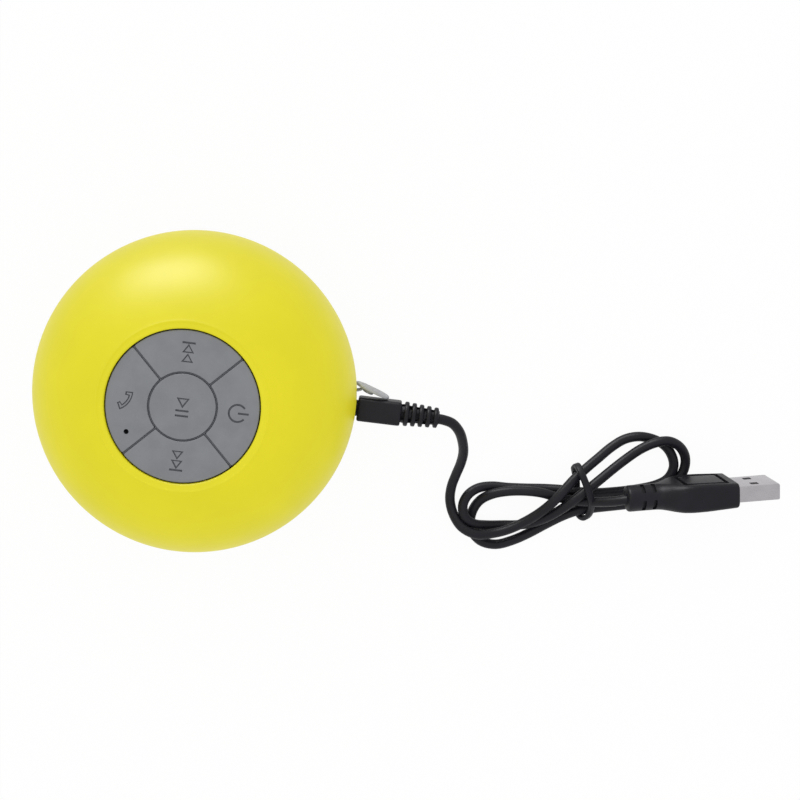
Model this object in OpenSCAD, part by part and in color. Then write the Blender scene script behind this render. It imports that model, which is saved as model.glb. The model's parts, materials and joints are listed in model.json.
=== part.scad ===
// Shower speaker on a suction cup, with its charging lead plugged in.
// The cup's rim stands on z = 0 and +Z is the speaker's axis, towards the keypad.

/* [Body] */
// Widest diameter, over the silicone skin
body_d = 86; // [80:1:104]
// Height of the widest ring above the cup's rim
ring_z = 24.5; // [23:0.5:30]
// Height that the front dome would reach if it had no keypad
dome_h = 33.5; // [32:0.5:41]
// Fullness of the dome's shoulder: 2 is an ellipse
dome_n = 2.4; // [2.2:0.1:2.9]
// Depth that the back curve would reach if it had no plate
tail_h = 27.5; // [26:0.5:33]
// Height of the rear plate's outer face above the cup's rim
back_z = 10.5; // [9.5:0.5:11.5]
// Thickness of the silicone skin
skin_t = 1.8; // [1.4:0.1:2.2]
// Wall of the two housing shells
wall = 1.8; // [1.5:0.1:2.2]
// Clockwise turn of the speaker on its cup, seen from the front
turn = 7; // [0:1:15]

/* [Keypad] */
// Diameter of the round keypad
keypad_d = 38.8; // [36:0.2:42]
// Width of the skin's lip round the keypad, out to its crease
lip_w = 2.2; // [1.8:0.1:2.6]
// Diameter of the middle key
play_d = 16.8; // [15:0.2:20]
// Width of the grooves between the keys
groove_w = 0.45; // [0.35:0.05:0.6]
// Thickness of a key
key_t = 2.4; // [2:0.1:3]
// How far a key goes down
key_travel = 0.6; // [0.4:0.05:0.8]
// How far the keys' faces lie under the crease
key_drop = 0.6; // [0.4:0.1:1]
// Distance from the axis to the posts of the four outer keys
post_r = 13.5; // [12.5:0.5:15]
// Distance from the axis to the signs of the four outer keys
sign_r = 13.9; // [13:0.1:14.5]
// Diameter of a key's post
post_d = 4; // [3:0.2:5]
// Depth of the signs pressed into the keys
sign_depth = 0.3; // [0.2:0.05:0.5]
// Line width of the signs
sign_w = 0.4; // [0.3:0.05:0.6]
// Diameter of the microphone's hole
mic_hole_d = 1.3; // [1:0.1:1.8]

/* [Board] */
// Diameter of the main board
board_d = 53; // [50:1:56]
// Thickness of the main board
board_t = 1.6; // [1:0.1:2]
// Side of a push switch
switch_w = 6; // [5:0.5:6.5]
// Height of a push switch's case
switch_h = 3.5; // [3:0.1:4]
// Height of a switch's plunger at rest
plunger_h = 0.9; // [0.9:0.05:1.2]
// Battery length
battery_l = 34; // [28:1:40]
// Battery width
battery_w = 22; // [18:1:26]
// Battery thickness
battery_t = 4.5; // [4:0.1:4.8]

/* [Driver] */
// Diameter of the loudspeaker's flange
driver_d = 41; // [38:0.5:46]
// Height of the basket between its flange and its plate
basket_h = 6.5; // [6:0.1:7.5]
// Diameter of the magnet
magnet_d = 30; // [26:0.5:33]
// Thickness of the magnet
magnet_t = 4.5; // [4:0.1:5]
// Thickness of the steel plates on the magnet
pole_t = 2; // [1.5:0.1:2.2]
// Bore of the voice coil
coil_d = 13.5; // [12:0.1:15]
// Travel of the cone each way
cone_travel = 1; // [0.5:0.1:1.5]

/* [Suction cup] */
// Diameter of the cup's rim
cup_d = 60; // [54:1:66]
// Height of the cup's bell
cup_h = 8; // [7:0.1:8.6]
// Thickness of the cup's bell at its middle
cup_t = 2.4; // [2:0.1:2.8]
// Diameter of the stem that holds the cup
stem_d = 9; // [8:0.2:10]
// Diameter of the stem's head inside the housing
head_d = 12.4; // [11:0.2:13]
// Radial clearance of the stem in the rear plate
stem_gap = 0.1; // [0.05:0.01:0.1]

/* [Charging port] */
// Height of the socket's axis above the cup's rim
port_z = 20; // [19:0.5:20]
// Diameter of the plug's barrel
barrel_d = 3.5; // [3:0.1:3.8]
// Length of the plug's barrel
barrel_l = 9; // [8:0.5:10]
// Radial clearance of the barrel in the socket
barrel_gap = 0.05; // [0.03:0.01:0.08]
// Outside width of the socket's body
socket_w = 7; // [6:0.5:7.5]
// Distance from the socket's axis to the flap's hinge
hinge_y = 7.2; // [7:0.1:8]
// Length of the flap
flap_l = 10.6; // [9:0.1:11]
// Width of the flap
flap_w = 7.4; // [7:0.1:8]
// Thickness of the flap
flap_t = 0.8; // [0.6:0.1:1]

/* [Charging lead] */
// Diameter of the plug's neck
neck_d = 4.4; // [4:0.1:4.6]
// Gap that the neck spans between the widest ring and the grip
neck_show = 0.4; // [0.4:0.1:1.5]
// Width across the plug's square grip
grip_w = 6.5; // [6:0.1:7]
// Length of the plug's grip
grip_l = 11.8; // [10:0.1:13]
// Number of ribs on the strain relief
rib_count = 5; // [3:1:6]
// Distance from one rib to the next
rib_pitch = 2.02; // [1.8:0.02:2.2]
// Diameter of the cord
cord_d = 2.8; // [2.6:0.1:2.9]
// Width of the charger plug's body
usb_body_w = 15; // [14:0.5:15.5]
// Thickness of the charger plug's body
usb_body_t = 8; // [7.5:0.1:8.5]
// Length of the charger plug's body with its strain relief
usb_body_l = 30.5; // [28:0.5:34]
// Width of the plug's metal shell
usb_shell_w = 12; // [11.5:0.1:12.5]
// Thickness of the plug's metal shell
usb_shell_t = 4.5; // [4:0.1:5]
// Length of the shell outside the body
usb_shell_l = 12; // [11:0.5:13]

/* [Hidden] */
$fn = 64;
eps = 0.01;

body_r = body_d / 2;
keypad_r = keypad_d / 2;
opening_r = keypad_r + 0.3;
crease_r = opening_r + lip_w;
curve_steps = 14;

// Radius of the body at a height, at a depth t under the skin's outside
function body_r_at(z, t) = z >= ring_z
    ? (body_r - t) * pow(1 - pow((z - ring_z) / (dome_h - t), dome_n), 1 / dome_n)
    : (body_r - t) * sqrt(1 - pow((ring_z - z) / (tail_h - t), 2));
// Height of the dome at a radius, at a depth t under the skin's outside
function dome_z_at(r, t) = ring_z + (dome_h - t) * pow(1 - pow(r / (body_r - t), dome_n), 1 / dome_n);
// Points of the dome from its widest ring in to radius r
function dome_curve(r, t) = let (last = acos(pow(r / (body_r - t), dome_n / 2)))
    [for (i = [0:curve_steps]) let (a = last * i / curve_steps)
        [(body_r - t) * pow(cos(a), 2 / dome_n), ring_z + (dome_h - t) * pow(sin(a), 2 / dome_n)]];
// Points of the back curve from height z up to just under the widest ring
function tail_curve(z, t) = let (last = asin((ring_z - z) / (tail_h - t)), steps = curve_steps / 2)
    [for (i = [steps:-1:1]) let (a = last * i / steps)
        [(body_r - t) * cos(a), ring_z - (tail_h - t) * sin(a)]];
function reversed(list) = [for (i = [len(list) - 1:-1:0]) list[i]];

// Heights from the keypad down to the board
crease_z = dome_z_at(crease_r, 0);
key_top = crease_z - key_drop;
key_bottom = key_top - key_t;
web_t = 0.8;
web_gap = 0.15;
web_top = key_bottom - key_travel - web_gap;
seat_top = web_top - web_t;
seat_t = 1.6;
seat_bottom = seat_top - seat_t;
post_end_gap = 0.8;
board_top = seat_bottom - post_end_gap - plunger_h - switch_h;
board_z = board_top - board_t;
plunger_top = board_top + switch_h + plunger_h;
mic_boot_r = 1.9;
mic_bore_r = 0.8;
web_r = opening_r + 1.3;
rim_r = web_r + 0.2;
rim_w = 1.6;
post_hole_r = post_d / 2 + 0.4;
key_places = [[0, 0], [0, post_r], [0, -post_r], [post_r, 0], [-post_r, 0]];
mic_place = [-13.4, -8];

// Heights from the rear plate up to the battery
plate_t = 2;
plate_in = back_z + plate_t;
lip_t = 1.2;
lip_r = body_r_at(back_z, 0) - 3.6;
driver_r = driver_d / 2;
driver_lift = 5;
driver_seat = plate_in + driver_lift;
gasket_t = 0.7;
flange_z = driver_seat + gasket_t;
flange_t = 1;
basket_t = 0.8;
basket_r = driver_r - 2.4;
basket_top = flange_z + flange_t + basket_h + basket_t;
magnet_z = basket_top + pole_t;
yoke_z = magnet_z + magnet_t;
yoke_top = yoke_z + pole_t;
pad_t = 1;
battery_z = yoke_top + pad_t;
// Room for the head of the cup's stem, and the sound slots round it
head_gap = 0.3;
head_h = 2.6;
head_room_r = head_d / 2 + head_gap;
head_room_z = plate_in + head_h + 2 * head_gap;
slot_count = 24;
slot_w = 1.5;
slot_in = head_room_r + 2.4;
slot_l = driver_r - 2.2 - slot_in;

// The loudspeaker's moving parts
coil_r = coil_d / 2;
coil_t = 0.5;
coil_gap = 0.4;
cone_r = driver_r - 5.4;
cone_t = 0.4;
cone_z = flange_z - cone_t;
neck_z = cone_z + 4;

// The rear shell's tongue stands inside the front shell and presses the seal up
tongue_h = 1.6;
tongue_t = 0.8;
tongue_r = body_r - skin_t - wall - 0.1;
seal_t = 0.8;

// Screws and posts
boss_r = 3.2;
screw_r = 1.5;
pilot_r = 1.3;
screw_place_r = body_r - 11.5;
screw_angles = [45, 135, 225, 315];
screw_head_r = 2.7;
screw_head_h = 1.8;
screw_pocket_h = 4;
screw_reach = 9;
board_post_r = 22.5;
board_post_angles = [30, 150, 270];
board_screw_r = 1;
board_pilot_r = 0.85;

// Charging port
port_hole_r = 3.2;
nose_r = 3;
nose_x = body_r_at(port_z, skin_t);
socket_in = body_r_at(port_z - socket_w / 2, skin_t + wall) - 1.6;
socket_back = nose_x - barrel_l - 2.4;
grip_x = body_r + neck_show;
hinge_x = sqrt(pow(body_r_at(port_z, 0), 2) - hinge_y * hinge_y) - 0.3;
flap_gap = 0.15;
bead_r = 0.6;
pocket_x = body_r_at(port_z, 0) - 1.1;
// The open flap leans towards the plug's grip and stops just short of it
flap_angle = asin((hinge_y - grip_w / 2 - flap_t / 2 - 0.12) / flap_l);

// The strain relief on the plug's grip
relief_l = rib_count * rib_pitch + 0.6;
relief_bend = 0.5;
rib_start = 1.1;
rib_w = 1.2;
function rib_r(i) = grip_w / 2 + 0.1 - 0.14 * i;

// Charger plug: the middle of its body's front face, and how it lies
usb_face = [147.5, -30.3, 8.4];
usb_heading = 2.8;
usb_slope = 9;
usb_lean = -3;
usb_relief_l = 9;
usb_relief_d = 7.4;
usb_inset = 5;
shell_wall = 0.3;
tongue_w = 10.8;
usb_tongue_t = 1.8;

// The cord's route, from the strain relief on the speaker's side to the charger plug
CORD = [
    [64.0, -8.2, 20.0], [66.4, -8.6, 19.9], [69.0, -9.8, 19.0], [70.9, -12.4, 17.1],
    [71.9, -15.8, 14.2], [72.2, -19.2, 11.0], [71.6, -22.8, 7.8], [70.4, -26.4, 5.2],
    [69.2, -30.2, 3.4], [68.8, -34.2, 2.8], [69.8, -38.2, 3.8], [72.2, -41.6, 5.4],
    [76.4, -43.5, 6.0], [81.4, -43.3, 4.9], [85.8, -42.1, 4.8], [90.0, -40.0, 5.2],
    [93.8, -37.4, 6.2], [97.2, -34.4, 7.1], [100.4, -31.0, 7.2], [103.6, -27.6, 6.4],
    [107.2, -24.6, 5.0], [110.8, -21.9, 3.4], [114.4, -19.2, 2.0], [118.2, -17.0, 1.4],
    [122.2, -16.2, 1.4], [126.2, -16.9, 1.4], [129.7, -18.8, 1.4], [131.8, -21.8, 1.4],
    [132.3, -25.2, 1.4], [130.6, -28.4, 1.4], [126.9, -30.3, 1.4], [121.6, -31.4, 1.4],
    [116.4, -32.0, 1.6], [110.8, -32.2, 2.4], [105.6, -31.9, 2.6], [100.6, -31.4, 2.0],
    [95.6, -31.2, 1.4], [90.4, -31.1, 1.4], [85.4, -30.9, 1.4], [80.8, -30.5, 1.4],
    [76.9, -30.9, 2.0], [73.9, -32.6, 3.3], [72.4, -35.5, 4.2], [73.0, -38.7, 4.8],
    [75.6, -40.8, 4.2], [79.4, -41.6, 2.4], [83.8, -41.8, 1.4], [88.4, -41.6, 2.0], [92.8, -40.4, 3.6],
    [96.8, -38.4, 5.2], [100.4, -35.9, 6.6], [103.8, -33.2, 7.4], [107.2, -30.5, 7.2],
    [110.8, -27.8, 6.2], [114.4, -25.1, 5.0], [118.2, -22.3, 4.2], [122.2, -19.5, 4.2],
    [126.2, -17.6, 4.4], [130.2, -17.1, 4.0], [133.6, -18.8, 2.9], [135.5, -22.1, 1.8],
    [135.2, -25.9, 1.4], [133.0, -29.5, 1.4], [129.6, -32.5, 1.4], [125.2, -34.5, 1.4],
    [120.2, -35.6, 1.4], [115.0, -36.2, 1.6], [109.8, -36.6, 2.4], [104.8, -37.4, 2.6],
    [100.4, -39.2, 2.0], [96.0, -41.6, 1.4], [91.6, -44.0, 1.4], [87.0, -46.1, 1.4],
    [82.0, -47.4, 1.4], [77.5, -46.3, 1.4], [74.8, -42.8, 1.4], [75.0, -38.4, 1.4],
    [77.1, -34.6, 2.4], [80.6, -32.3, 4.0], [85.0, -31.4, 4.3], [89.8, -31.3, 4.3],
    [94.4, -31.8, 4.3], [98.8, -33.0, 4.2], [103.2, -33.9, 4.6], [107.2, -34.0, 6.3],
    [110.5, -33.6, 8.7], [113.8, -33.0, 11.1], [117.2, -32.2, 12.7], [120.6, -31.7, 12.8]
];

// The tie's loop round the bundle of strands
TIE = [
    [103.9, -24.7, 4.0], [104.4, -23.7, 6.0], [105.0, -24.6, 8.0], [106.0, -26.8, 9.3],
    [107.2, -30.0, 9.6], [108.2, -33.2, 8.6], [108.5, -35.9, 6.4], [108.0, -38.2, 4.7],
    [106.9, -39.4, 2.7], [105.6, -38.7, 1.0], [105.2, -36.0, 0.7], [105.0, -32.4, 0.7],
    [104.8, -28.6, 0.9], [104.2, -26.0, 2.0]
];
tie_d = 1.4;

function unit(v) = v / norm(v);
function heading(p, i, loop) = let (n = len(p))
    loop ? unit(p[(i + 1) % n] - p[(i + n - 1) % n]) : unit(p[min(i + 1, n - 1)] - p[max(i - 1, 0)]);
// An axis across the path at each point, turned as little as possible from one to the next
function across(p, loop) = let (n = len(p), start = unit(cross(heading(p, 0, loop), [0.1, 0.2, 1])))
    [for (i = 0, a = start; i < n;
        i = i + 1, t = heading(p, min(i, n - 1), loop), a = unit(a - (a * t) * t)) a];

// A tube of radius r swept along the points p; a loop joins its end to its start
module tube(p, r, sides = 8, loop = false) {
    n = len(p);
    a = across(p, loop);
    rings = [for (i = [0:n - 1]) let (b = cross(heading(p, i, loop), a[i]))
        for (k = [0:sides - 1]) p[i] + r * (cos(360 * k / sides) * a[i] + sin(360 * k / sides) * b)];
    walls = [for (i = [0:n - (loop ? 1 : 2)], k = [0:sides - 1])
        let (j = (i + 1) % n, m = (k + 1) % sides)
        [i * sides + k, i * sides + m, j * sides + m, j * sides + k]];
    ends = loop ? [] : [[for (k = [sides - 1:-1:0]) k], [for (k = [0:sides - 1]) (n - 1) * sides + k]];
    polyhedron([for (q = rings) q], [for (f = concat(walls, ends)) reversed(f)]);
}

// Turns its children to the speaker's own axes, with +X through the charging port
module turned() rotate([0, 0, -turn]) children();

// Lays its children along +X at the charging port
module at_port(x) turned() translate([x, 0, port_z]) rotate([0, 90, 0]) children();

// Places its children in the charger plug's own axes: +X to the shell, +Z across the wide side
module at_usb() translate(usb_face)
    rotate([0, 0, usb_heading]) rotate([0, usb_slope, 0]) rotate([90 - usb_lean, 0, 0]) children();

module ring(r_out, r_in, h) difference() {
    cylinder(r = r_out, h = h);
    translate([0, 0, -1]) cylinder(r = r_in, h = h + 2);
}

module box(size, z = 0) translate([-size[0] / 2, -size[1] / 2, z]) cube(size);

// A box with its four long edges rounded, along +X
module rounded_bar(l, w, t, r) rotate([90, 0, 90]) linear_extrude(l)
    hull() for (x = [-1, 1], y = [-1, 1])
        translate([x * (w / 2 - r), y * (t / 2 - r)]) circle(r, $fn = 32);

// ---- Skin and housing ----

module silicone_skin() color("yellow") turned() difference() {
    rotate_extrude($fn = 128) polygon(concat(
        [[lip_r, back_z - lip_t], [body_r_at(back_z, 0) - 1.4, back_z - lip_t],
            [body_r_at(back_z, 0) - 0.4, back_z - 0.7]],
        tail_curve(back_z, 0), dome_curve(crease_r, 0),
        [[crease_r - 0.5, crease_z - 0.05], [opening_r + 0.4, crease_z - 0.3],
            [opening_r, crease_z - 0.8], [opening_r, web_top], [rim_r, web_top],
            [rim_r, dome_z_at(rim_r, skin_t)]],
        reversed(dome_curve(rim_r, skin_t)), reversed(tail_curve(back_z, skin_t)),
        [[lip_r, back_z]]));
    translate([body_r - 6, 0, port_z]) rotate([0, 90, 0]) cylinder(r = port_hole_r, h = 12);
    translate([pocket_x, hinge_y - flap_l - 0.6, port_z - flap_w / 2 - 0.3])
        cube([8, flap_l + 2, flap_w + 0.6]);
    anchor_block();
}

module front_housing() color("darkgray") turned() difference() {
    union() {
        rotate_extrude($fn = 96) polygon(concat(
            dome_curve(rim_r, skin_t),
            [[rim_r, seat_top], [0, seat_top], [0, seat_bottom], [rim_r + rim_w, seat_bottom]],
            reversed(dome_curve(rim_r + rim_w, skin_t + wall))));
        intersection() {
            rotate_extrude($fn = 96) polygon(concat(
                [[0, ring_z]], dome_curve(rim_r, skin_t + eps),
                [[rim_r, seat_bottom], [0, seat_bottom]]));
            union() {
                for (a = screw_angles) rotate(a) translate([screw_place_r, 0, ring_z + tongue_h])
                    cylinder(r = boss_r, h = dome_h);
                for (a = board_post_angles) rotate(a) translate([board_post_r, 0, board_top])
                    cylinder(r = boss_r - 0.4, h = dome_h);
            }
        }
    }
    for (p = key_places) translate([p[0], p[1], seat_bottom - 1]) cylinder(r = post_hole_r, h = seat_t + 2);
    translate([mic_place[0], mic_place[1], seat_bottom - 1]) cylinder(r = mic_boot_r, h = seat_t + 2);
    for (a = screw_angles) rotate(a) translate([screw_place_r, 0, ring_z - 1])
        cylinder(r = pilot_r, h = screw_reach + 2);
    for (a = board_post_angles) rotate(a) translate([board_post_r, 0, board_top - 1])
        cylinder(r = board_pilot_r, h = 6);
}

module rear_housing() color("dimgray") turned() difference() {
    union() {
        rotate_extrude($fn = 96) polygon(concat(
            [[stem_d / 2 + stem_gap, back_z]], tail_curve(back_z, skin_t),
            [[body_r - skin_t, ring_z], [tongue_r, ring_z], [tongue_r, ring_z + tongue_h],
                [tongue_r - tongue_t, ring_z + tongue_h], [tongue_r - tongue_t, ring_z]],
            reversed(tail_curve(plate_in, skin_t + wall)),
            [[stem_d / 2 + stem_gap, plate_in]]));
        rotate_extrude() polygon([[head_room_r, plate_in - eps], [head_room_r + 1.4, plate_in - eps],
            [head_room_r + 1.4, head_room_z + 1.4], [0, head_room_z + 1.4], [0, head_room_z],
            [head_room_r, head_room_z]]);
        translate([0, 0, plate_in - eps]) ring(driver_r + 1, driver_r - 1.6, driver_lift + eps);
        for (a = screw_angles) rotate(a) translate([screw_place_r, 0, back_z])
            cylinder(r = boss_r, h = ring_z + tongue_h - back_z);
        translate([socket_in - 5, -socket_w / 2 - 1.6, plate_in - eps])
            cube([4, socket_w + 3.2, port_z - socket_w / 2 - plate_in + eps]);
    }
    for (i = [0:slot_count - 1]) rotate(i * 360 / slot_count)
        translate([slot_in, -slot_w / 2, back_z - 1]) cube([slot_l, slot_w, plate_t + 2]);
    for (a = screw_angles) rotate(a) translate([screw_place_r, 0, back_z - 1]) {
        cylinder(r = screw_r + 0.2, h = ring_z);
        cylinder(r = screw_head_r + 0.3, h = screw_pocket_h + 1);
    }
    translate([body_r - 10, 0, port_z]) rotate([0, 90, 0]) cylinder(r = nose_r + 0.05, h = 12);
}

module housing_gasket() color("black") turned() translate([0, 0, ring_z + tongue_h])
    ring(tongue_r, tongue_r - tongue_t, seal_t);

module housing_screws() color("silver") turned() for (a = screw_angles) rotate(a)
    translate([screw_place_r, 0, back_z + screw_pocket_h]) {
        difference() {
            translate([0, 0, -screw_head_h]) cylinder(r = screw_head_r, h = screw_head_h);
            for (s = [0, 90]) rotate(s) box([3, 0.8, 1], -screw_head_h - 0.2);
        }
        cylinder(r = screw_r, h = ring_z + screw_reach - back_z - screw_pocket_h);
    }

// ---- Keypad ----

module sign_line(a, b, w = sign_w) hull() {
    translate(a) circle(w / 2, $fn = 24);
    translate(b) circle(w / 2, $fn = 24);
}

// A triangle with its tip at +Y
module arrow(w, h) polygon([[-w / 2, -h / 2], [w / 2, -h / 2], [0, h / 2]]);

module play_sign() {
    translate([0, 0.9]) rotate(180) arrow(3.3, 2.4);
    for (y = [-1.1, -2.3]) translate([-1.7, y - sign_w / 2]) square([3.4, sign_w]);
}

module skip_sign() {
    for (y = [-1.5, 0.7]) translate([0, y]) arrow(3, 2.3);
    translate([-1.65, 2.1]) square([3.3, sign_w]);
}

module power_sign() {
    difference() {
        circle(2.2, $fn = 48);
        circle(2.2 - sign_w, $fn = 48);
        translate([0, -0.9]) square([3, 1.8]);
    }
    sign_line([0.2, 0], [2.6, 0]);
}

// Points of an arc about the origin, between two angles from -Y
function arc(r, from, to) = [for (i = [0:8]) let (a = from + (to - from) * i / 8) [r * sin(a), -r * cos(a)]];

// A handset: a bent handle with a block at each end
module call_sign() rotate(58) translate([0, 3.9])
    polygon(concat(arc(5.1, -34, 34), arc(3.2, 34, 19), arc(4.15, 19, -19), arc(3.2, -19, -34)));

// The outline of an outer key, round the +Y axis
module sector() difference() {
    intersection() {
        circle(keypad_r, $fn = 96);
        polygon([[0, groove_w * 0.71], [60, 60 + groove_w * 0.71], [-60, 60 + groove_w * 0.71]]);
    }
    circle(play_d / 2 + groove_w, $fn = 96);
}

module key_post(at) translate([at[0], at[1], plunger_top])
    cylinder(d = post_d, h = key_bottom - plunger_top + eps);

module key_plate(cut_z) translate([0, 0, key_bottom]) difference() {
    linear_extrude(key_t) children(0);
    translate([0, 0, key_t - cut_z]) linear_extrude(cut_z + 1) children(1);
}

module play_key() color("gray") turned() {
    key_plate(sign_depth) { circle(play_d / 2, $fn = 96); play_sign(); }
    key_post([0, 0]);
}

module outer_key(a, at) color("gray") turned() {
    key_plate(sign_depth) { rotate(a) sector(); translate(at * sign_r / post_r) children(); }
    key_post(at);
}

module previous_key() outer_key(0, key_places[1]) skip_sign();
module next_key() outer_key(180, key_places[2]) rotate(180) skip_sign();
module power_key() outer_key(-90, key_places[3]) power_sign();

module call_key() difference() {
    outer_key(90, key_places[4]) call_sign();
    turned() translate([mic_place[0], mic_place[1], key_bottom - 1])
        cylinder(d = mic_hole_d, h = key_t + 2);
}

module keypad_web() color("dimgray") turned() translate([0, 0, seat_top]) difference() {
    cylinder(r = web_r, h = web_t);
    for (p = key_places) translate([p[0], p[1], -1]) cylinder(r = post_hole_r, h = web_t + 2);
    translate([mic_place[0], mic_place[1], -1]) cylinder(d = mic_hole_d, h = web_t + 2);
}

// ---- Board and battery ----

module plunger(i) color("white") turned() translate(key_places[i])
    translate([0, 0, board_top + switch_h - key_travel - 0.3])
        cylinder(r = 1.75, h = plunger_h + key_travel + 0.3);

module play_plunger() plunger(0);
module previous_plunger() plunger(1);
module next_plunger() plunger(2);
module power_plunger() plunger(3);
module call_plunger() plunger(4);

module tact_switches() color("silver") turned() for (p = key_places)
    translate([p[0], p[1], board_top]) difference() {
        box([switch_w, switch_w, switch_h]);
        translate([0, 0, 1]) cylinder(r = 1.85, h = switch_h);
    }

module main_board() color("darkgreen") turned() difference() {
    translate([0, 0, board_z]) cylinder(d = board_d, h = board_t);
    for (a = board_post_angles) rotate(a) translate([board_post_r, 0, board_z - 1])
        cylinder(r = board_screw_r + 0.2, h = board_t + 2);
}

module board_screws() color("silver") turned() for (a = board_post_angles) rotate(a)
    translate([board_post_r, 0, board_z]) {
        translate([0, 0, -1.2]) cylinder(r = 1.9, h = 1.2);
        cylinder(r = board_screw_r, h = board_t + 4);
    }

module bluetooth_module() color("steelblue") turned() translate([9, 9, board_top]) {
    box([10, 8, 0.8]);
    box([8.4, 6.4, 1.8], 0.8);
}

module amplifier_chip() color("black") turned() translate([9, -9, board_top]) box([6, 5, 1.4]);

module board_components() color("tan") turned() {
    for (i = [0:5]) translate([-12 + 1.8 * i, 8.4, board_top]) box([1, 1.8, 0.8]);
    for (i = [0:3]) translate([7.4 + 1.8 * i, -14, board_top]) box([1, 1.8, 0.8]);
    for (y = [-4.4, 4.4]) translate([-21.4, y, board_top]) cylinder(d = 5, h = 4.2);
    translate([20.4, 0, board_top]) box([4, 6, 3]);
}

module status_led() color("white") turned() translate([mic_place[0] + 3.4, mic_place[1] - 1.6, board_top])
    box([1.6, 0.8, 0.7]);

module microphone() color("silver") turned() translate([mic_place[0], mic_place[1], board_top])
    cylinder(d = 4, h = 1.6);

module mic_boot() color("black") turned() translate([mic_place[0], mic_place[1], board_top + 1.6])
    ring(mic_boot_r - 0.05, mic_bore_r, seat_top - board_top - 1.6);

module battery() color("lightsteelblue") turned() translate([0, 0, battery_z])
    translate([-battery_l / 2, 0, battery_t / 2]) rounded_bar(battery_l, battery_w, battery_t, 0.8);

module battery_pad() color("white") turned() translate([0, 0, yoke_top])
    box([magnet_d * 0.6, battery_w * 0.6, pad_t]);

// Two thin wires side by side
module wire_pair(p, gap) for (y = [-gap / 2, gap / 2])
    tube([for (q = p) q + [0, y, 0]], 0.5);

module battery_wires() color("red") turned() wire_pair([
    [battery_l / 2, 0, battery_z + battery_t / 2], [battery_l / 2 + 4, 0, battery_z + battery_t / 2],
    [board_d / 2 + 1.5, 0, battery_z + battery_t / 2 + 1.4], [board_d / 2 + 2, 0, board_z + 1],
    [board_d / 2 + 0.6, 0, board_top + 1.4], [board_d / 2 - 4.1, 0, board_top + 1.6]], 2);

module speaker_wires() color("black") turned() rotate(180) wire_pair([
    [basket_r, 0, flange_z + flange_t + 4], [basket_r + 4, 0, flange_z + flange_t + 5],
    [board_d / 2 + 0.5, 0, yoke_top], [board_d / 2 + 1.6, 0, board_z - 1],
    [board_d / 2 + 1, 0, board_top + 1.4], [board_d / 2 - 2, 0, board_top + 0.5]], 2);

// ---- Loudspeaker driver ----

module acoustic_mesh() color("dimgray") turned() translate([0, 0, plate_in])
    ring(driver_r - 1.7, head_room_r + 1.5, 0.3);

module driver_gasket() color("black") turned() translate([0, 0, driver_seat])
    ring(driver_r, driver_r - 1.6, gasket_t);

module driver_basket() color("silver") turned() translate([0, 0, flange_z]) difference() {
    union() {
        ring(driver_r, driver_r - 3.2, flange_t);
        ring(basket_r, basket_r - 0.8, flange_t + basket_h + basket_t);
        translate([0, 0, flange_t + basket_h]) ring(basket_r, coil_r + coil_t + coil_gap, basket_t);
    }
    for (a = [30:60:330]) rotate(a) translate([basket_r - 3, -4, flange_t + 1.2])
        cube([6, 8, basket_h - 2.4]);
}

module driver_top_plate() color("gray") turned() translate([0, 0, basket_top])
    ring(magnet_d / 2 - 0.8, coil_r + coil_t + coil_gap, pole_t);

module driver_magnet() color("black") turned() translate([0, 0, magnet_z])
    ring(magnet_d / 2, coil_r + coil_t + 1.2, magnet_t);

module driver_yoke() color("gray") turned() {
    translate([0, 0, yoke_z]) cylinder(r = magnet_d / 2 - 0.8, h = pole_t);
    translate([0, 0, basket_top]) cylinder(r = coil_r - coil_gap, h = pole_t + magnet_t + eps);
}

// A half roll of rubber from the cone's edge to the basket
module driver_surround() color("black") turned() translate([0, 0, cone_z]) rotate_extrude()
    let (edge = driver_r - 1.7, mid = (cone_r + edge) / 2, roll = (edge - cone_r) / 2)
    polygon(concat(
        [for (a = [0:20:180]) [mid + roll * cos(a), -roll * 0.55 * sin(a)]],
        [[cone_r, cone_t]],
        [for (a = [180:-20:0]) [mid + (roll - 0.4) * cos(a), cone_t - roll * 0.55 * sin(a)]],
        [[edge, cone_t]]));

module driver_spider() color("goldenrod") turned() translate([0, 0, neck_z + 1.2])
    ring(basket_r - 0.9, coil_r + coil_t + 0.1, 0.4);

module driver_cone() color("dimgray") turned() rotate_extrude() polygon([
    [cone_r, cone_z], [coil_r + coil_t, neck_z], [coil_r + coil_t, neck_z + cone_t],
    [cone_r, cone_z + cone_t]]);

module dust_cap() color("dimgray") turned() let (r = coil_r + 1.6, rise = 2, z = neck_z - 0.6)
    rotate_extrude() polygon(concat(
        [for (a = [0:15:90]) [r * cos(a), z - rise * sin(a)]],
        [for (a = [90:-15:0]) [(r - 0.3) * cos(a), z - (rise - 0.3) * sin(a)]]));

module voice_coil() color("peru") turned() translate([0, 0, neck_z - 0.4])
    ring(coil_r + coil_t, coil_r, basket_top + pole_t - neck_z + 1.2);

// ---- Suction cup ----

module suction_cup() color("gainsboro") turned() let (r = cup_d / 2, stem_r = stem_d / 2, top = cup_h - 0.6)
    rotate_extrude($fn = 96) polygon(concat(
        [[r, 0], [r, 0.6]],
        [for (a = [15:15:75]) [stem_r + 2 + (r - 2 - stem_r - 2) * cos(a), 1 + (top - 1) * sin(a)]],
        [[stem_r + 2, top], [stem_r, cup_h], [stem_r, plate_in + head_gap],
            [head_d / 2, plate_in + head_gap], [head_d / 2, plate_in + head_gap + head_h * 0.4],
            [head_d / 2 - 2.4, plate_in + head_gap + head_h], [0, plate_in + head_gap + head_h],
            [0, cup_h - cup_t]],
        [for (a = [75:-15:15]) [(r - 3.2) * cos(a), (cup_h - cup_t) * sin(a)]],
        [[r - 3, 0]]));

// ---- Charging socket, flap and plug ----

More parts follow.
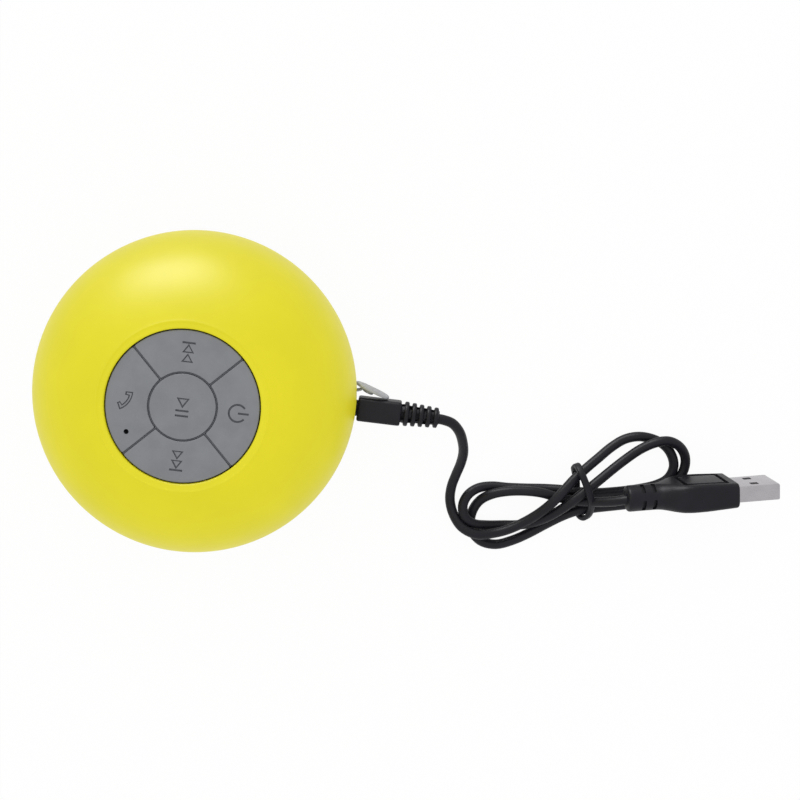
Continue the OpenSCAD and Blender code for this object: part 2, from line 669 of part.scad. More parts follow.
module charge_socket() color("black") turned() difference() {
    union() {
        translate([socket_back, -socket_w / 2, port_z - socket_w / 2])
            cube([socket_in - socket_back, socket_w, socket_w]);
        translate([socket_in - eps, 0, port_z]) rotate([0, 90, 0])
            cylinder(r = nose_r, h = nose_x - socket_in - 0.1);
    }
    translate([nose_x - barrel_l - 0.6, 0, port_z]) rotate([0, 90, 0])
        cylinder(d = barrel_d + 2 * barrel_gap, h = barrel_l + 2);
}

module socket_contacts() color("gold") turned() for (y = [-2.4, 0, 2.4])
    translate([socket_back - 1.6, y - 0.4, port_z - 2.6]) cube([1.6, 0.8, 0.3 + 4 - abs(y) * 0.5]);

// The foot and bead that hold the flap in the skin
module anchor_block() translate([0, 0, port_z - flap_w / 2 + 0.6]) {
    translate([hinge_x, hinge_y, 0]) cylinder(r = bead_r, h = flap_w - 1.2);
    translate([hinge_x - 1, hinge_y - bead_r, 0]) cube([1, 2 * bead_r, flap_w - 1.2]);
}

module flap_anchor() color("silver") turned() anchor_block();

module port_flap() color("silver") turned() translate([hinge_x, hinge_y, port_z]) rotate(-flap_angle) {
    translate([bead_r + flap_gap, flap_t * -0.5, -flap_w / 2])
        cube([flap_l - bead_r - flap_gap, flap_t, flap_w]);
    translate([flap_l * 0.62, -flap_t * 0.5 - 0.5, 0]) rotate([-90, 0, 0]) cylinder(r = 1.4, h = 0.6);
}

module jack_barrel() color("silver") at_port(nose_x - barrel_l) difference() {
    cylinder(d = barrel_d, h = barrel_l + 1);
    translate([0, 0, -1]) cylinder(r = barrel_d / 2 - 0.5, h = barrel_l + 3);
}

module jack_insulator() color("black") at_port(nose_x - barrel_l - 0.2)
    ring(barrel_d / 2 - 0.5, 0.7, barrel_l + 1.2);

module jack_overmould() color([0.2, 0.2, 0.22]) turned() difference() {
    union() {
        translate([nose_x + 0.05, 0, port_z]) rotate([0, 90, 0])
            cylinder(d = neck_d, h = grip_x - nose_x);
        translate([grip_x, 0, port_z]) rounded_bar(grip_l, grip_w, grip_w, 1.2);
        translate([grip_x + grip_l - 0.2, 0, port_z]) rotate([0, 90, 0]) rotate([relief_bend, 0, 0]) {
            cylinder(r1 = 2.5, r2 = 2.05, h = relief_l);
            for (i = [0:rib_count - 1]) translate([0, 0, rib_start + rib_pitch * i])
                cylinder(r = rib_r(i), h = rib_w);
        }
    }
    translate([nose_x - 1, 0, port_z]) rotate([0, 90, 0]) cylinder(d = barrel_d, h = 2.05);
}

module charging_cord() color([0.17, 0.17, 0.19]) tube(CORD, cord_d / 2);

module cord_tie() color("black") tube(TIE, tie_d / 2, loop = true);

module usb_overmould() color([0.2, 0.2, 0.22]) at_usb() difference() {
    union() {
        hull() {
            translate([-usb_body_l + usb_relief_l + 10, 0, 0])
                rounded_bar(usb_body_l - usb_relief_l - 10, usb_body_w, usb_body_t, 1.5);
            translate([-usb_body_l + usb_relief_l, 0, 0]) rotate([0, 90, 0])
                cylinder(d = usb_relief_d, h = 1, $fn = 32);
        }
        translate([-usb_body_l, 0, 0]) rotate([0, 90, 0]) cylinder(d = usb_relief_d, h = usb_relief_l + 1);
    }
    for (x = [4.2, 7.2], s = [-1, 1]) translate([-usb_body_l + x, s * 2.3 - 1.2, -5]) cube([0.8, 2.4, 10]);
    translate([-usb_inset, -usb_shell_w / 2, -usb_shell_t / 2]) cube([usb_inset + 1, usb_shell_w, usb_shell_t]);
}

module usb_shell() color("silver") at_usb() difference() {
    translate([-usb_inset, -usb_shell_w / 2, -usb_shell_t / 2])
        cube([usb_inset + usb_shell_l, usb_shell_w, usb_shell_t]);
    translate([-usb_inset + 1, -usb_shell_w / 2 + shell_wall, -usb_shell_t / 2 + shell_wall])
        cube([usb_inset + usb_shell_l, usb_shell_w - 2 * shell_wall, usb_shell_t - 2 * shell_wall]);
    for (y = [-1, 1]) translate([5.4, y * 2.9 - 1.1, -usb_shell_t]) cube([2.2, 2.2, 2 * usb_shell_t]);
}

module usb_tongue() color("white") at_usb()
    translate([-usb_inset + 1, -tongue_w / 2, -usb_shell_t / 2 + shell_wall])
        cube([usb_inset + usb_shell_l - 1.6, tongue_w, usb_tongue_t]);

module usb_contacts() color("gold") at_usb() for (y = [-3.5, -1, 1, 3.5])
    translate([-usb_inset + 1, y - 0.5, -usb_shell_t / 2 + shell_wall + usb_tongue_t])
        cube([usb_inset + usb_shell_l - 3, 1, 0.15]);

silicone_skin();
front_housing();
rear_housing();
housing_gasket();
keypad_web();
play_key();
previous_key();
next_key();
power_key();
call_key();
play_plunger();
previous_plunger();
next_plunger();
power_plunger();
call_plunger();
tact_switches();
main_board();
bluetooth_module();
amplifier_chip();
board_components();
status_led();
microphone();
mic_boot();
battery();
battery_pad();
battery_wires();
speaker_wires();
board_screws();
housing_screws();
acoustic_mesh();
driver_gasket();
driver_basket();
driver_top_plate();
driver_magnet();
driver_yoke();
driver_surround();
driver_spider();
driver_cone();
dust_cap();
voice_coil();
suction_cup();
charge_socket();
socket_contacts();
flap_anchor();
port_flap();
jack_barrel();
jack_insulator();
jack_overmould();
charging_cord();
cord_tie();
usb_overmould();
usb_shell();
usb_tongue();
usb_contacts();
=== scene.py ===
"""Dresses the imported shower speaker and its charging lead.

Each sub-assembly is a class that holds its sizes in millimetres, builds its pieces and gives them
their finishes. A piece is built in millimetres and scaled to metres when it is handed over.
"""

import json
import logging
import math
from dataclasses import dataclass
from enum import Enum
from typing import Callable, Optional, Sequence

import bpy
from mathutils import Matrix, Vector


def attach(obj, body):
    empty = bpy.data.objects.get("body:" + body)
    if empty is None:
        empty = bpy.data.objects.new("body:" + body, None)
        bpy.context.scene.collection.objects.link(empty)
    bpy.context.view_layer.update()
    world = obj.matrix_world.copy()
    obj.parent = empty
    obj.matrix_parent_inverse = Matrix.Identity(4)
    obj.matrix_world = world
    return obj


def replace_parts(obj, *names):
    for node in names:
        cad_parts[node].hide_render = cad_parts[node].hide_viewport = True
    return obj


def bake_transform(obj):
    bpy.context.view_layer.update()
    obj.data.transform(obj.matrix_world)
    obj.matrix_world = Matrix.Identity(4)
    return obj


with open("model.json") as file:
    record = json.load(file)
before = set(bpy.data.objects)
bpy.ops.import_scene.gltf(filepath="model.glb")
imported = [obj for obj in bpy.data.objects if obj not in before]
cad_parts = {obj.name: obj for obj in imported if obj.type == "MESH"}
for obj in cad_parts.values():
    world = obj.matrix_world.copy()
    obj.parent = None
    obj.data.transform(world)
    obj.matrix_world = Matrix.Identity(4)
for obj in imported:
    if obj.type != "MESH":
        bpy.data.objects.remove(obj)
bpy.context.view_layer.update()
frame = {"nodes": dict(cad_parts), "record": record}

LOG = logging.getLogger("shower_speaker")
MILLIMETRE = 0.001

Flat = tuple[float, float]
Outline = list[Flat]
Rings = list[list[Vector]]

# The cord's route in millimetres, from the plug in the speaker to the charger plug.
CORD_ROUTE = [
    (64.0, -8.2, 20.0), (66.4, -8.6, 19.9), (69.0, -9.8, 19.0), (70.9, -12.4, 17.1),
    (71.9, -15.8, 14.2), (72.2, -19.2, 11.0), (71.6, -22.8, 7.8), (70.4, -26.4, 5.2),
    (69.2, -30.2, 3.4), (68.8, -34.2, 2.8), (69.8, -38.2, 3.8), (72.2, -41.6, 5.4),
    (76.4, -43.5, 6.0), (81.4, -43.3, 4.9), (85.8, -42.1, 4.8), (90.0, -40.0, 5.2),
    (93.8, -37.4, 6.2), (97.2, -34.4, 7.1), (100.4, -31.0, 7.2), (103.6, -27.6, 6.4),
    (107.2, -24.6, 5.0), (110.8, -21.9, 3.4), (114.4, -19.2, 2.0), (118.2, -17.0, 1.4),
    (122.2, -16.2, 1.4), (126.2, -16.9, 1.4), (129.7, -18.8, 1.4), (131.8, -21.8, 1.4),
    (132.3, -25.2, 1.4), (130.6, -28.4, 1.4), (126.9, -30.3, 1.4), (121.6, -31.4, 1.4),
    (116.4, -32.0, 1.6), (110.8, -32.2, 2.4), (105.6, -31.9, 2.6), (100.6, -31.4, 2.0),
    (95.6, -31.2, 1.4), (90.4, -31.1, 1.4), (85.4, -30.9, 1.4), (80.8, -30.5, 1.4),
    (76.9, -30.9, 2.0), (73.9, -32.6, 3.3), (72.4, -35.5, 4.2), (73.0, -38.7, 4.8),
    (75.6, -40.8, 4.2), (79.4, -41.6, 2.4), (83.8, -41.8, 1.4), (88.4, -41.6, 2.0),
    (92.8, -40.4, 3.6), (96.8, -38.4, 5.2), (100.4, -35.9, 6.6), (103.8, -33.2, 7.4),
    (107.2, -30.5, 7.2), (110.8, -27.8, 6.2), (114.4, -25.1, 5.0), (118.2, -22.3, 4.2),
    (122.2, -19.5, 4.2), (126.2, -17.6, 4.4), (130.2, -17.1, 4.0), (133.6, -18.8, 2.9),
    (135.5, -22.1, 1.8), (135.2, -25.9, 1.4), (133.0, -29.5, 1.4), (129.6, -32.5, 1.4),
    (125.2, -34.5, 1.4), (120.2, -35.6, 1.4), (115.0, -36.2, 1.6), (109.8, -36.6, 2.4),
    (104.8, -37.4, 2.6), (100.4, -39.2, 2.0), (96.0, -41.6, 1.4), (91.6, -44.0, 1.4),
    (87.0, -46.1, 1.4), (82.0, -47.4, 1.4), (77.5, -46.3, 1.4), (74.8, -42.8, 1.4),
    (75.0, -38.4, 1.4), (77.1, -34.6, 2.4), (80.6, -32.3, 4.0), (85.0, -31.4, 4.3),
    (89.8, -31.3, 4.3), (94.4, -31.8, 4.3), (98.8, -33.0, 4.2), (103.2, -33.9, 4.6),
    (107.2, -34.0, 6.3), (110.5, -33.6, 8.7), (113.8, -33.0, 11.1), (117.2, -32.2, 12.7),
    (120.6, -31.7, 12.8),
]

# The tie's loop in millimetres, round the bundle of strands.
TIE_ROUTE = [
    (103.9, -24.7, 4.0), (104.4, -23.7, 6.0), (105.0, -24.6, 8.0), (106.0, -26.8, 9.3),
    (107.2, -30.0, 9.6), (108.2, -33.2, 8.6), (108.5, -35.9, 6.4), (108.0, -38.2, 4.7),
    (106.9, -39.4, 2.7), (105.6, -38.7, 1.0), (105.2, -36.0, 0.7), (105.0, -32.4, 0.7),
    (104.8, -28.6, 0.9), (104.2, -26.0, 2.0),
]


# ---- Shader graph ----


class Value:
    """A shader socket that adds a Math node for each arithmetic operator used on it."""

    def __init__(self, graph: "Graph", socket: bpy.types.NodeSocket) -> None:
        """Keeps the graph and the socket.

        Args:
            graph: the graph that the socket is in.
            socket: an output socket that carries a number.
        """
        self.graph = graph
        self.socket = socket

    def _math(self, operation: str, *others: "Value | float", flip: bool = False) -> "Value":
        """Adds one Math node.

        Args:
            operation: the node's operation.
            others: the other operands.
            flip: whether this value comes last.

        Returns:
            The node's result.
        """
        operands = [self, *others]
        if flip:
            operands.reverse()
        return self.graph.node("ShaderNodeMath", {"operation": operation}, dict(enumerate(operands)))

    def __add__(self, other: "Value | float") -> "Value":
        """The sum."""
        return self._math("ADD", other)

    __radd__ = __add__

    def __sub__(self, other: "Value | float") -> "Value":
        """The difference."""
        return self._math("SUBTRACT", other)

    def __rsub__(self, other: float) -> "Value":
        """The difference the other way round."""
        return self._math("SUBTRACT", other, flip=True)

    def __mul__(self, other: "Value | float") -> "Value":
        """The product."""
        return self._math("MULTIPLY", other)

    __rmul__ = __mul__

    def __truediv__(self, other: "Value | float") -> "Value":
        """The quotient."""
        return self._math("DIVIDE", other)

    def __pow__(self, other: float) -> "Value":
        """The power."""
        return self._math("POWER", other)

    def __gt__(self, other: "Value | float") -> "Value":
        """1 where this value is the greater, and 0 elsewhere."""
        return self._math("GREATER_THAN", other)

    def ramp(self, low: float, high: float) -> "Value":
        """A smooth step from 0 at low to 1 at high."""
        return self.graph.node(
            "ShaderNodeMapRange",
            {"interpolation_type": "SMOOTHSTEP", "clamp": True},
            {"Value": self, "From Min": low, "From Max": high},
        )


class Graph:
    """The node tree of one material or of the world."""

    def __init__(self, tree: bpy.types.NodeTree) -> None:
        """Empties the tree.

        Args:
            tree: the node tree to fill.
        """
        self.tree = tree
        tree.nodes.clear()

    def node(
        self,
        kind: str,
        settings: Optional[dict] = None,
        sockets: Optional[dict] = None,
        output: "int | str" = 0,
    ) -> Value:
        """Adds a node.

        Args:
            kind: the node's type.
            settings: its settings, which are set first.
            sockets: values or links of its inputs, by name or number.
            output: which output to return.

        Returns:
            The chosen output.
        """
        made = self.tree.nodes.new(kind)
        for name, value in (settings or {}).items():
            setattr(made, name, value)
        for name, value in (sockets or {}).items():
            if isinstance(value, Value):
                self.tree.links.new(value.socket, made.inputs[name])
            else:
                made.inputs[name].default_value = value
        return Value(self, made.outputs[output]) if made.outputs else Value(self, None)

    def mix(self, share: "Value | float", first: "Value | tuple", second: "Value | tuple") -> Value:
        """Mixes two colours.

        Args:
            share: how much of the second colour shows.
            first: the colour at 0.
            second: the colour at 1.

        Returns:
            The mixed colour.
        """
        return self.node(
            "ShaderNodeMix",
            {"data_type": "RGBA"},
            {"Factor": share, 6: first, 7: second},
            output=2,
        )

    def place(self, scale: Sequence[float] = (1, 1, 1), turn: Sequence[float] = (0, 0, 0)) -> Value:
        """The piece's own coordinates in metres, turned by radians and then stretched."""
        own = self.node("ShaderNodeTexCoord", output="Object")
        turned = self.node("ShaderNodeMapping", {}, {"Vector": own, "Rotation": turn})
        return self.node("ShaderNodeMapping", {}, {"Vector": turned, "Scale": scale})

    def noise(self, where: Value, scale: float, detail: float = 2, rough: float = 0.5) -> Value:
        """Smooth noise from 0 to 1, with about scale features in a metre."""
        return self.node(
            "ShaderNodeTexNoise",
            {},
            {"Vector": where, "Scale": scale, "Detail": detail, "Roughness": rough},
        )

    def cells(self, where: Value, scale: float) -> Value:
        """Distance from the middle of each cell, with about scale cells in a metre."""
        return self.node("ShaderNodeTexVoronoi", {}, {"Vector": where, "Scale": scale})

    def waves(self, where: Value, scale: float, axis: str) -> Value:
        """Bands across an axis, from 0 to 1."""
        return self.node(
            "ShaderNodeTexWave", {"bands_direction": axis}, {"Vector": where, "Scale": scale}
        )


# ---- Finishes ----


def linear(red: float, green: float, blue: float) -> tuple[float, float, float, float]:
    """A colour written as 0 to 255 display values, as a shader's linear colour."""
    def channel(value: float) -> float:
        """One channel's linear value."""
        share = value / 255
        return share / 12.92 if share <= 0.04045 else ((share + 0.055) / 1.055) ** 2.4
    return (channel(red), channel(green), channel(blue), 1.0)


class Texture(Enum):
    """What a surface shows at close range."""

    SILICONE = "silicone"
    RUBBER = "rubber"
    MOULDED = "moulded"
    SPARKED = "sparked"
    BRUSHED = "brushed"
    WOVEN = "woven"
    BOARD = "board"
    WOUND = "wound"
    FIBROUS = "fibrous"
    CRINKLED = "crinkled"


@dataclass(frozen=True)
class Finish:
    """One material.

    Args:
        slot: the record's material slot.
        colour: display colour, 0 to 255.
        roughness: mean roughness.
        texture: what the surface shows at close range.
        bump: depth of the texture in millimetres.
        metallic: 1 for bare metal.
        mottle: share by which the colour drifts over the surface.
        coat: strength of a clear coat.
        transmission: share of light let through.
        sheen: strength of the dusty sheen that soft rubber shows at its edges.
        specular: strength of the surface's own reflection, 0.5 for a usual plastic.
    """

    slot: str
    colour: tuple[float, float, float]
    roughness: float
    texture: Texture
    bump: float = 0.02
    metallic: float = 0.0
    mottle: float = 0.06
    coat: float = 0.0
    transmission: float = 0.0
    sheen: float = 0.0
    specular: float = 0.5

    def detail(self, graph: Graph) -> tuple[Value, Value]:
        """Builds the close-range pattern.

        Args:
            graph: the material's graph.

        Returns:
            The pattern's height from 0 to 1, and its mask for colour from 0 to 1.
        """
        own = graph.place()
        if self.texture is Texture.SILICONE:
            height = 0.7 * graph.noise(own, 3200, 2) + 0.3 * graph.noise(own, 260, 3)
            return height, graph.noise(own, 45, 4, 0.6)
        if self.texture is Texture.RUBBER:
            height = 0.6 * graph.noise(own, 4200, 3) + 0.4 * graph.noise(own, 700, 2)
            return height, graph.noise(own, 150, 3, 0.6)
        if self.texture is Texture.SPARKED:
            height = graph.cells(own, 2600) * 0.6 + graph.noise(own, 5200, 2) * 0.5
            return height, graph.noise(own, 90, 3)
        if self.texture is Texture.BRUSHED:
            drawn = graph.place((120, 5200, 5200), (0, 0, math.radians(-2.5)))
            height = graph.noise(drawn, 1, 2)
            return height, 0.5 * height + 0.5 * graph.noise(own, 240, 3)
        if self.texture is Texture.WOVEN:
            warp, weft = graph.waves(own, 420, "X"), graph.waves(own, 420, "Y")
            return warp * weft, warp * weft
        if self.texture is Texture.BOARD:
            runs = graph.node(
                "ShaderNodeTexBrick",
                {"offset": 0.5},
                {"Vector": own, "Scale": 260.0, "Mortar Size": 0.05, "Mortar Smooth": 0.3},
                output="Fac",
            )
            broken = runs * (graph.noise(own, 160, 2) > 0.48)
            return broken, broken
        if self.texture is Texture.WOUND:
            turns = graph.waves(own, 1400, "Z")
            return turns, turns
        if self.texture is Texture.FIBROUS:
            fibres = graph.noise(graph.place((900, 5200, 2600), (0.4, 0.2, 0.7)), 1, 5, 0.7)
            return fibres, fibres
        if self.texture is Texture.CRINKLED:
            height = graph.cells(own, 380) * 0.5 + graph.noise(own, 900, 4, 0.7) * 0.5
            return height, graph.noise(own, 200, 4)
        height = 0.6 * graph.noise(own, 2400, 3) + 0.4 * graph.noise(own, 400, 2)
        return height, graph.noise(own, 120, 3)

    def tint(self, graph: Graph, mask: Value) -> Value:
        """The surface's colour.

        Args:
            graph: the material's graph.
            mask: where the colour drifts, from 0 to 1.

        Returns:
            The colour.
        """
        low, high = ([c * (1 + s * self.mottle) for c in self.colour] for s in (-1, 1))
        return graph.mix(mask.ramp(0.25, 0.75), linear(*low), linear(*(min(c, 252) for c in high)))

    def material(self) -> bpy.types.Material:
        """Builds the material, or returns it if it is there already."""
        known = bpy.data.materials.get(self.slot + "_finish")
        if known:
            return known
        made = bpy.data.materials.new(self.slot + "_finish")
        made.use_nodes = True
        graph = Graph(made.node_tree)
        height, mask = self.detail(graph)
        wear = graph.noise(graph.place(), 75, 3)
        bump = graph.node(
            "ShaderNodeBump",
            {},
            {"Height": height, "Strength": 0.5, "Distance": self.bump * MILLIMETRE},
        )
        surface = graph.node(
            "ShaderNodeBsdfPrincipled",
            {},
            {
                "Base Color": self.tint(graph, mask),
                "Roughness": self.roughness - 0.05 + 0.06 * height + 0.05 * wear,
                "Metallic": self.metallic,
                "Coat Weight": self.coat,
                "Transmission Weight": self.transmission,
                "Specular IOR Level": self.specular,
                "Sheen Weight": self.sheen,
                "Sheen Roughness": 0.4,
                "Normal": bump,
            },
        )
        graph.node("ShaderNodeOutputMaterial", {}, {"Surface": surface})
        return made


@dataclass(frozen=True)
class KeyRubber(Finish):
    """The keys' rubber, with painted shade that darkens its sunk signs and grooves.

    Args:
        face_z: height of the keys' faces in millimetres.
        shade_depth: depth under the faces at which the painted shade is full, in millimetres.
        shade_colour: colour of the painted shade, 0 to 255.
    """

    face_z: float = 54.35
    # painted shade: the sunk signs and grooves are coloured darker, as where shade falls
    shade_depth: float = 0.28
    shade_colour: tuple[float, float, float] = (96, 98, 104)

    def tint(self, graph: Graph, mask: Value) -> Value:
        """The rubber's colour, with painted shade darkening what is sunk under the keys' faces."""
        plain = super().tint(graph, mask)
        own = graph.node("ShaderNodeTexCoord", output="Object")
        height = graph.node("ShaderNodeSeparateXYZ", {}, {"Vector": own}, output="Z")
        top = self.face_z * MILLIMETRE
        # painted shade: the colour darkens with depth under the keys' faces, standing in for the shade in the signs
        # and grooves
        sunk = 1 - height.ramp(top - self.shade_depth * MILLIMETRE, top - 0.06 * MILLIMETRE)
        return graph.mix(sunk, plain, linear(*self.shade_colour))


FINISHES = {
    finish.slot: finish
    for finish in (
        Finish("yellow_silicone", (229, 219, 24), 0.44, Texture.SILICONE, 0.02, mottle=0.012,
               specular=0.3),
        KeyRubber("grey_rubber", (126, 128, 132), 0.55, Texture.RUBBER, 0.02, mottle=0.03,
                  specular=0.3),
        Finish("dark_rubber", (50, 50, 53), 0.62, Texture.RUBBER),
        Finish("housing_plastic", (96, 98, 102), 0.48, Texture.SPARKED, 0.03),
        Finish("key_plunger", (222, 222, 216), 0.4, Texture.MOULDED),
        Finish("steel", (186, 188, 190), 0.34, Texture.BRUSHED, 0.006, 1.0),
        Finish("chrome_shell", (168, 165, 169), 0.27, Texture.BRUSHED, 0.003, 1.0, 0.03),
        Finish("screw_steel", (168, 170, 172), 0.36, Texture.BRUSHED, 0.006, 1.0),
        Finish("board_green", (26, 92, 52), 0.36, Texture.BOARD, 0.02, mottle=0.3, coat=0.4),
        Finish("black_plastic", (34, 34, 36), 0.45, Texture.MOULDED),
        Finish("chip_tan", (168, 142, 104), 0.5, Texture.CRINKLED, 0.01),
        Finish("led_white", (240, 240, 232), 0.22, Texture.MOULDED, coat=0.5),
        Finish("battery_foil", (176, 184, 196), 0.36, Texture.CRINKLED, 0.05, 0.6),
        Finish("foam_white", (222, 222, 214), 0.9, Texture.CRINKLED, 0.08),
        Finish("wire_red", (162, 32, 26), 0.42, Texture.RUBBER),
        Finish("ferrite", (46, 46, 49), 0.6, Texture.CRINKLED, 0.04),
        Finish("paper_cone", (60, 60, 63), 0.85, Texture.FIBROUS, 0.05),
        Finish("spider_cloth", (188, 148, 72), 0.8, Texture.WOVEN, 0.08, mottle=0.2),
        Finish("mesh_cloth", (50, 50, 54), 0.75, Texture.WOVEN, 0.08, mottle=0.4),
        Finish("coil_copper", (196, 118, 72), 0.32, Texture.WOUND, 0.05, 0.9),
        Finish("cup_pvc", (214, 222, 226), 0.2, Texture.MOULDED, 0.01, mottle=0.02, transmission=0.75),
        Finish("flap_rubber", (170, 171, 175), 0.5, Texture.RUBBER, specular=0.25),
        Finish("gold", (226, 184, 92), 0.26, Texture.BRUSHED, 0.003, 1.0),
        Finish("cord_black", (27, 26, 32), 0.42, Texture.RUBBER, 0.012, mottle=0.08, specular=0.16),
    )
}


# ---- Shapes ----


def lies(*, x: float = 0, y: float = 0, z: float = 0) -> Matrix:
    """A shift in millimetres."""
    return Matrix.Translation((x, y, z))


def turns(degrees: float, axis: str) -> Matrix:
    """A turn about an axis."""
    return Matrix.Rotation(math.radians(degrees), 4, axis)


def rounded_outline(width: float, height: float, radius: float, steps: int = 7) -> Outline:
    """A rounded rectangle about the origin.

    Args:
        width: its size along the first axis.
        height: its size along the second axis.
        radius: radius of its corners.
        steps: straight pieces in a corner.

    Returns:
        Its points, anticlockwise.
    """
    radius = min(radius, width / 2 - 1e-3, height / 2 - 1e-3)
    points = []
    for quarter, (sx, sy) in enumerate(((1, 1), (-1, 1), (-1, -1), (1, -1))):
        for step in range(steps + 1):
            angle = math.radians(90 * (quarter + step / steps))
            points.append((
                sx * (width / 2 - radius) + radius * math.cos(angle),
                sy * (height / 2 - radius) + radius * math.sin(angle),
            ))
    return points


def circle_outline(radius: float, steps: int = 96) -> Outline:
    """A circle's points, anticlockwise."""
    return [
        (radius * math.cos(2 * math.pi * i / steps), radius * math.sin(2 * math.pi * i / steps))
        for i in range(steps)
    ]


def arc_points(radius: float, start: float, end: float, steps: int, centre: Flat = (0, 0)) -> Outline:
    """Points on an arc from start to end, in degrees."""
    angles = [math.radians(start + (end - start) * i / steps) for i in range(steps + 1)]
    return [(centre[0] + radius * math.cos(a), centre[1] + radius * math.sin(a)) for a in angles]


def mesh_piece(name: str, points: Sequence[Vector], faces: Sequence[Sequence[int]]) -> bpy.types.Object:
    """Makes an object in millimetres.

    Args:
        name: its name.
        points: its vertices.
        faces: vertex numbers of each face.

    Returns:
        The object, linked to the scene.
    """
    mesh = bpy.data.meshes.new(name)
    mesh.from_pydata([tuple(p) for p in points], [], [list(f) for f in faces])
    mesh.validate()
    made = bpy.data.objects.new(name, mesh)
    bpy.context.scene.collection.objects.link(made)
    return made


def loft(name: str, rings: Rings, place: Matrix = Matrix(), loop: bool = False) -> bpy.types.Object:
    """Joins rings of equal count into one closed solid.

    Args:
        name: the piece's name.
        rings: the rings in order, each turning the same way.
        place: where the result goes.
        loop: whether the last ring joins the first.

    Returns:
        The object.
    """
    size, count = len(rings[0]), len(rings)
    points = [place @ Vector(p) for ring in rings for p in ring]
    faces = []
    for i in range(count if loop else count - 1):
        j = (i + 1) % count
        for k in range(size):
            m = (k + 1) % size
            faces.append((i * size + k, i * size + m, j * size + m, j * size + k))
    if not loop:
        faces.append(tuple(reversed(range(size))))
        faces.append(tuple(range((count - 1) * size, count * size)))
    return mesh_piece(name, points, faces)


def along_x(outline: Outline, x: float) -> list[Vector]:
    """An outline stood across the X axis at x."""
    return [Vector((x, a, b)) for a, b in outline]


def at_height(outline: Outline, z: float) -> list[Vector]:
    """An outline laid flat at a height."""
    return [Vector((a, b, z)) for a, b in outline]


def prism(name: str, outline: Outline, low: float, high: float, place: Matrix = Matrix()) -> bpy.types.Object:
    """An outline extruded from one height to another."""
    return loft(name, [at_height(outline, low), at_height(outline, high)], place)


def lathe(name: str, profile: Sequence[Flat], steps: int, place: Matrix = Matrix()) -> bpy.types.Object:
    """Turns a closed profile about the Z axis.

    Args:
        name: the piece's name.
        profile: radius and height of each point, anticlockwise as seen with the axis at the left.
        steps: straight pieces in a full turn.
        place: where the result goes.

    Returns:
        The object.
    """
    points, faces, rows = [], [], []
    for radius, height in profile:
        if radius < 1e-6:
            rows.append([len(points)] * steps)
            points.append(place @ Vector((0, 0, height)))
            continue
        rows.append(list(range(len(points), len(points) + steps)))
        points += [place @ p for p in at_height(circle_outline(radius, steps), height)]
    for i, row in enumerate(rows):
        above = rows[(i + 1) % len(rows)]
        for k in range(steps):
            m = (k + 1) % steps
            corners = list(dict.fromkeys((row[k], row[m], above[m], above[k])))
            if len(corners) > 2:
                faces.append(corners)
    return mesh_piece(name, points, faces)


def settle(piece: bpy.types.Object) -> None:
    """Applies a piece's modifiers to its mesh."""
    graph = bpy.context.evaluated_depsgraph_get()
    mesh = bpy.data.meshes.new_from_object(piece.evaluated_get(graph))
    piece.modifiers.clear()
    before, piece.data = piece.data, mesh
    bpy.data.meshes.remove(before)
    mesh.name = piece.name


def combine(piece: bpy.types.Object, tools: Sequence[bpy.types.Object], how: str = "DIFFERENCE") -> None:
    """Cuts tools from a piece or joins them to it, and removes the tools.

    Args:
        piece: the piece to change.
        tools: closed solids.
        how: the Boolean modifier's operation.
    """
    for tool in tools:
        step = piece.modifiers.new("step", "BOOLEAN")
        step.operation, step.solver, step.object = how, "EXACT", tool
    settle(piece)
    for tool in tools:
        bpy.data.objects.remove(tool, do_unlink=True)


def hand_over(
    piece: bpy.types.Object, body: str, slot: str, stands_for: Sequence[str] = (), sharp: float = 34
) -> bpy.types.Object:
    """Scales a piece to metres, shades and dresses it, and puts it on its body.

    Args:
        piece: the finished mesh in millimetres.
        body: the CAD body that it moves with.
        slot: its material slot in the record.
        stands_for: CAD nodes that it replaces.
        sharp: edges that turn by more than this many degrees stay sharp.

    Returns:
        The piece.
    """
    mesh = piece.data
    mesh.transform(Matrix.Scale(MILLIMETRE, 4))
    mesh.shade_smooth()
    mesh.set_sharp_from_angle(angle=math.radians(sharp))
    mesh.materials.clear()
    mesh.materials.append(FINISHES[slot].material())
    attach(piece, body)
    if stands_for:
        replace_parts(piece, *stands_for)
    LOG.info("%s on %s, %d faces", piece.name, body, len(mesh.polygons))
    return piece


def smooth_line(route: Sequence[Sequence[float]], steps: int, loop: bool = False) -> list[Vector]:
    """A smooth line through points.

    Args:
        route: the points.
        steps: pieces between two of them.
        loop: whether the line closes.

    Returns:
        The line's points.
    """
    points, count = [Vector(p) for p in route], len(route)
    def at(i: int) -> Vector:
        """The point at a place that may lie beyond an open line's ends."""
        return points[i % count] if loop else points[max(0, min(count - 1, i))]
    line = []
    for i in range(count if loop else count - 1):
        a, b, c, d = at(i - 1), at(i), at(i + 1), at(i + 2)
        for s in range(steps):
            t = s / steps
            line.append(0.5 * (
                2 * b + (c - a) * t + (2 * a - 5 * b + 4 * c - d) * t ** 2
                + (3 * b - a - 3 * c + d) * t ** 3
            ))
    return line if loop else line + [points[-1]]


# ---- The speaker's body ----


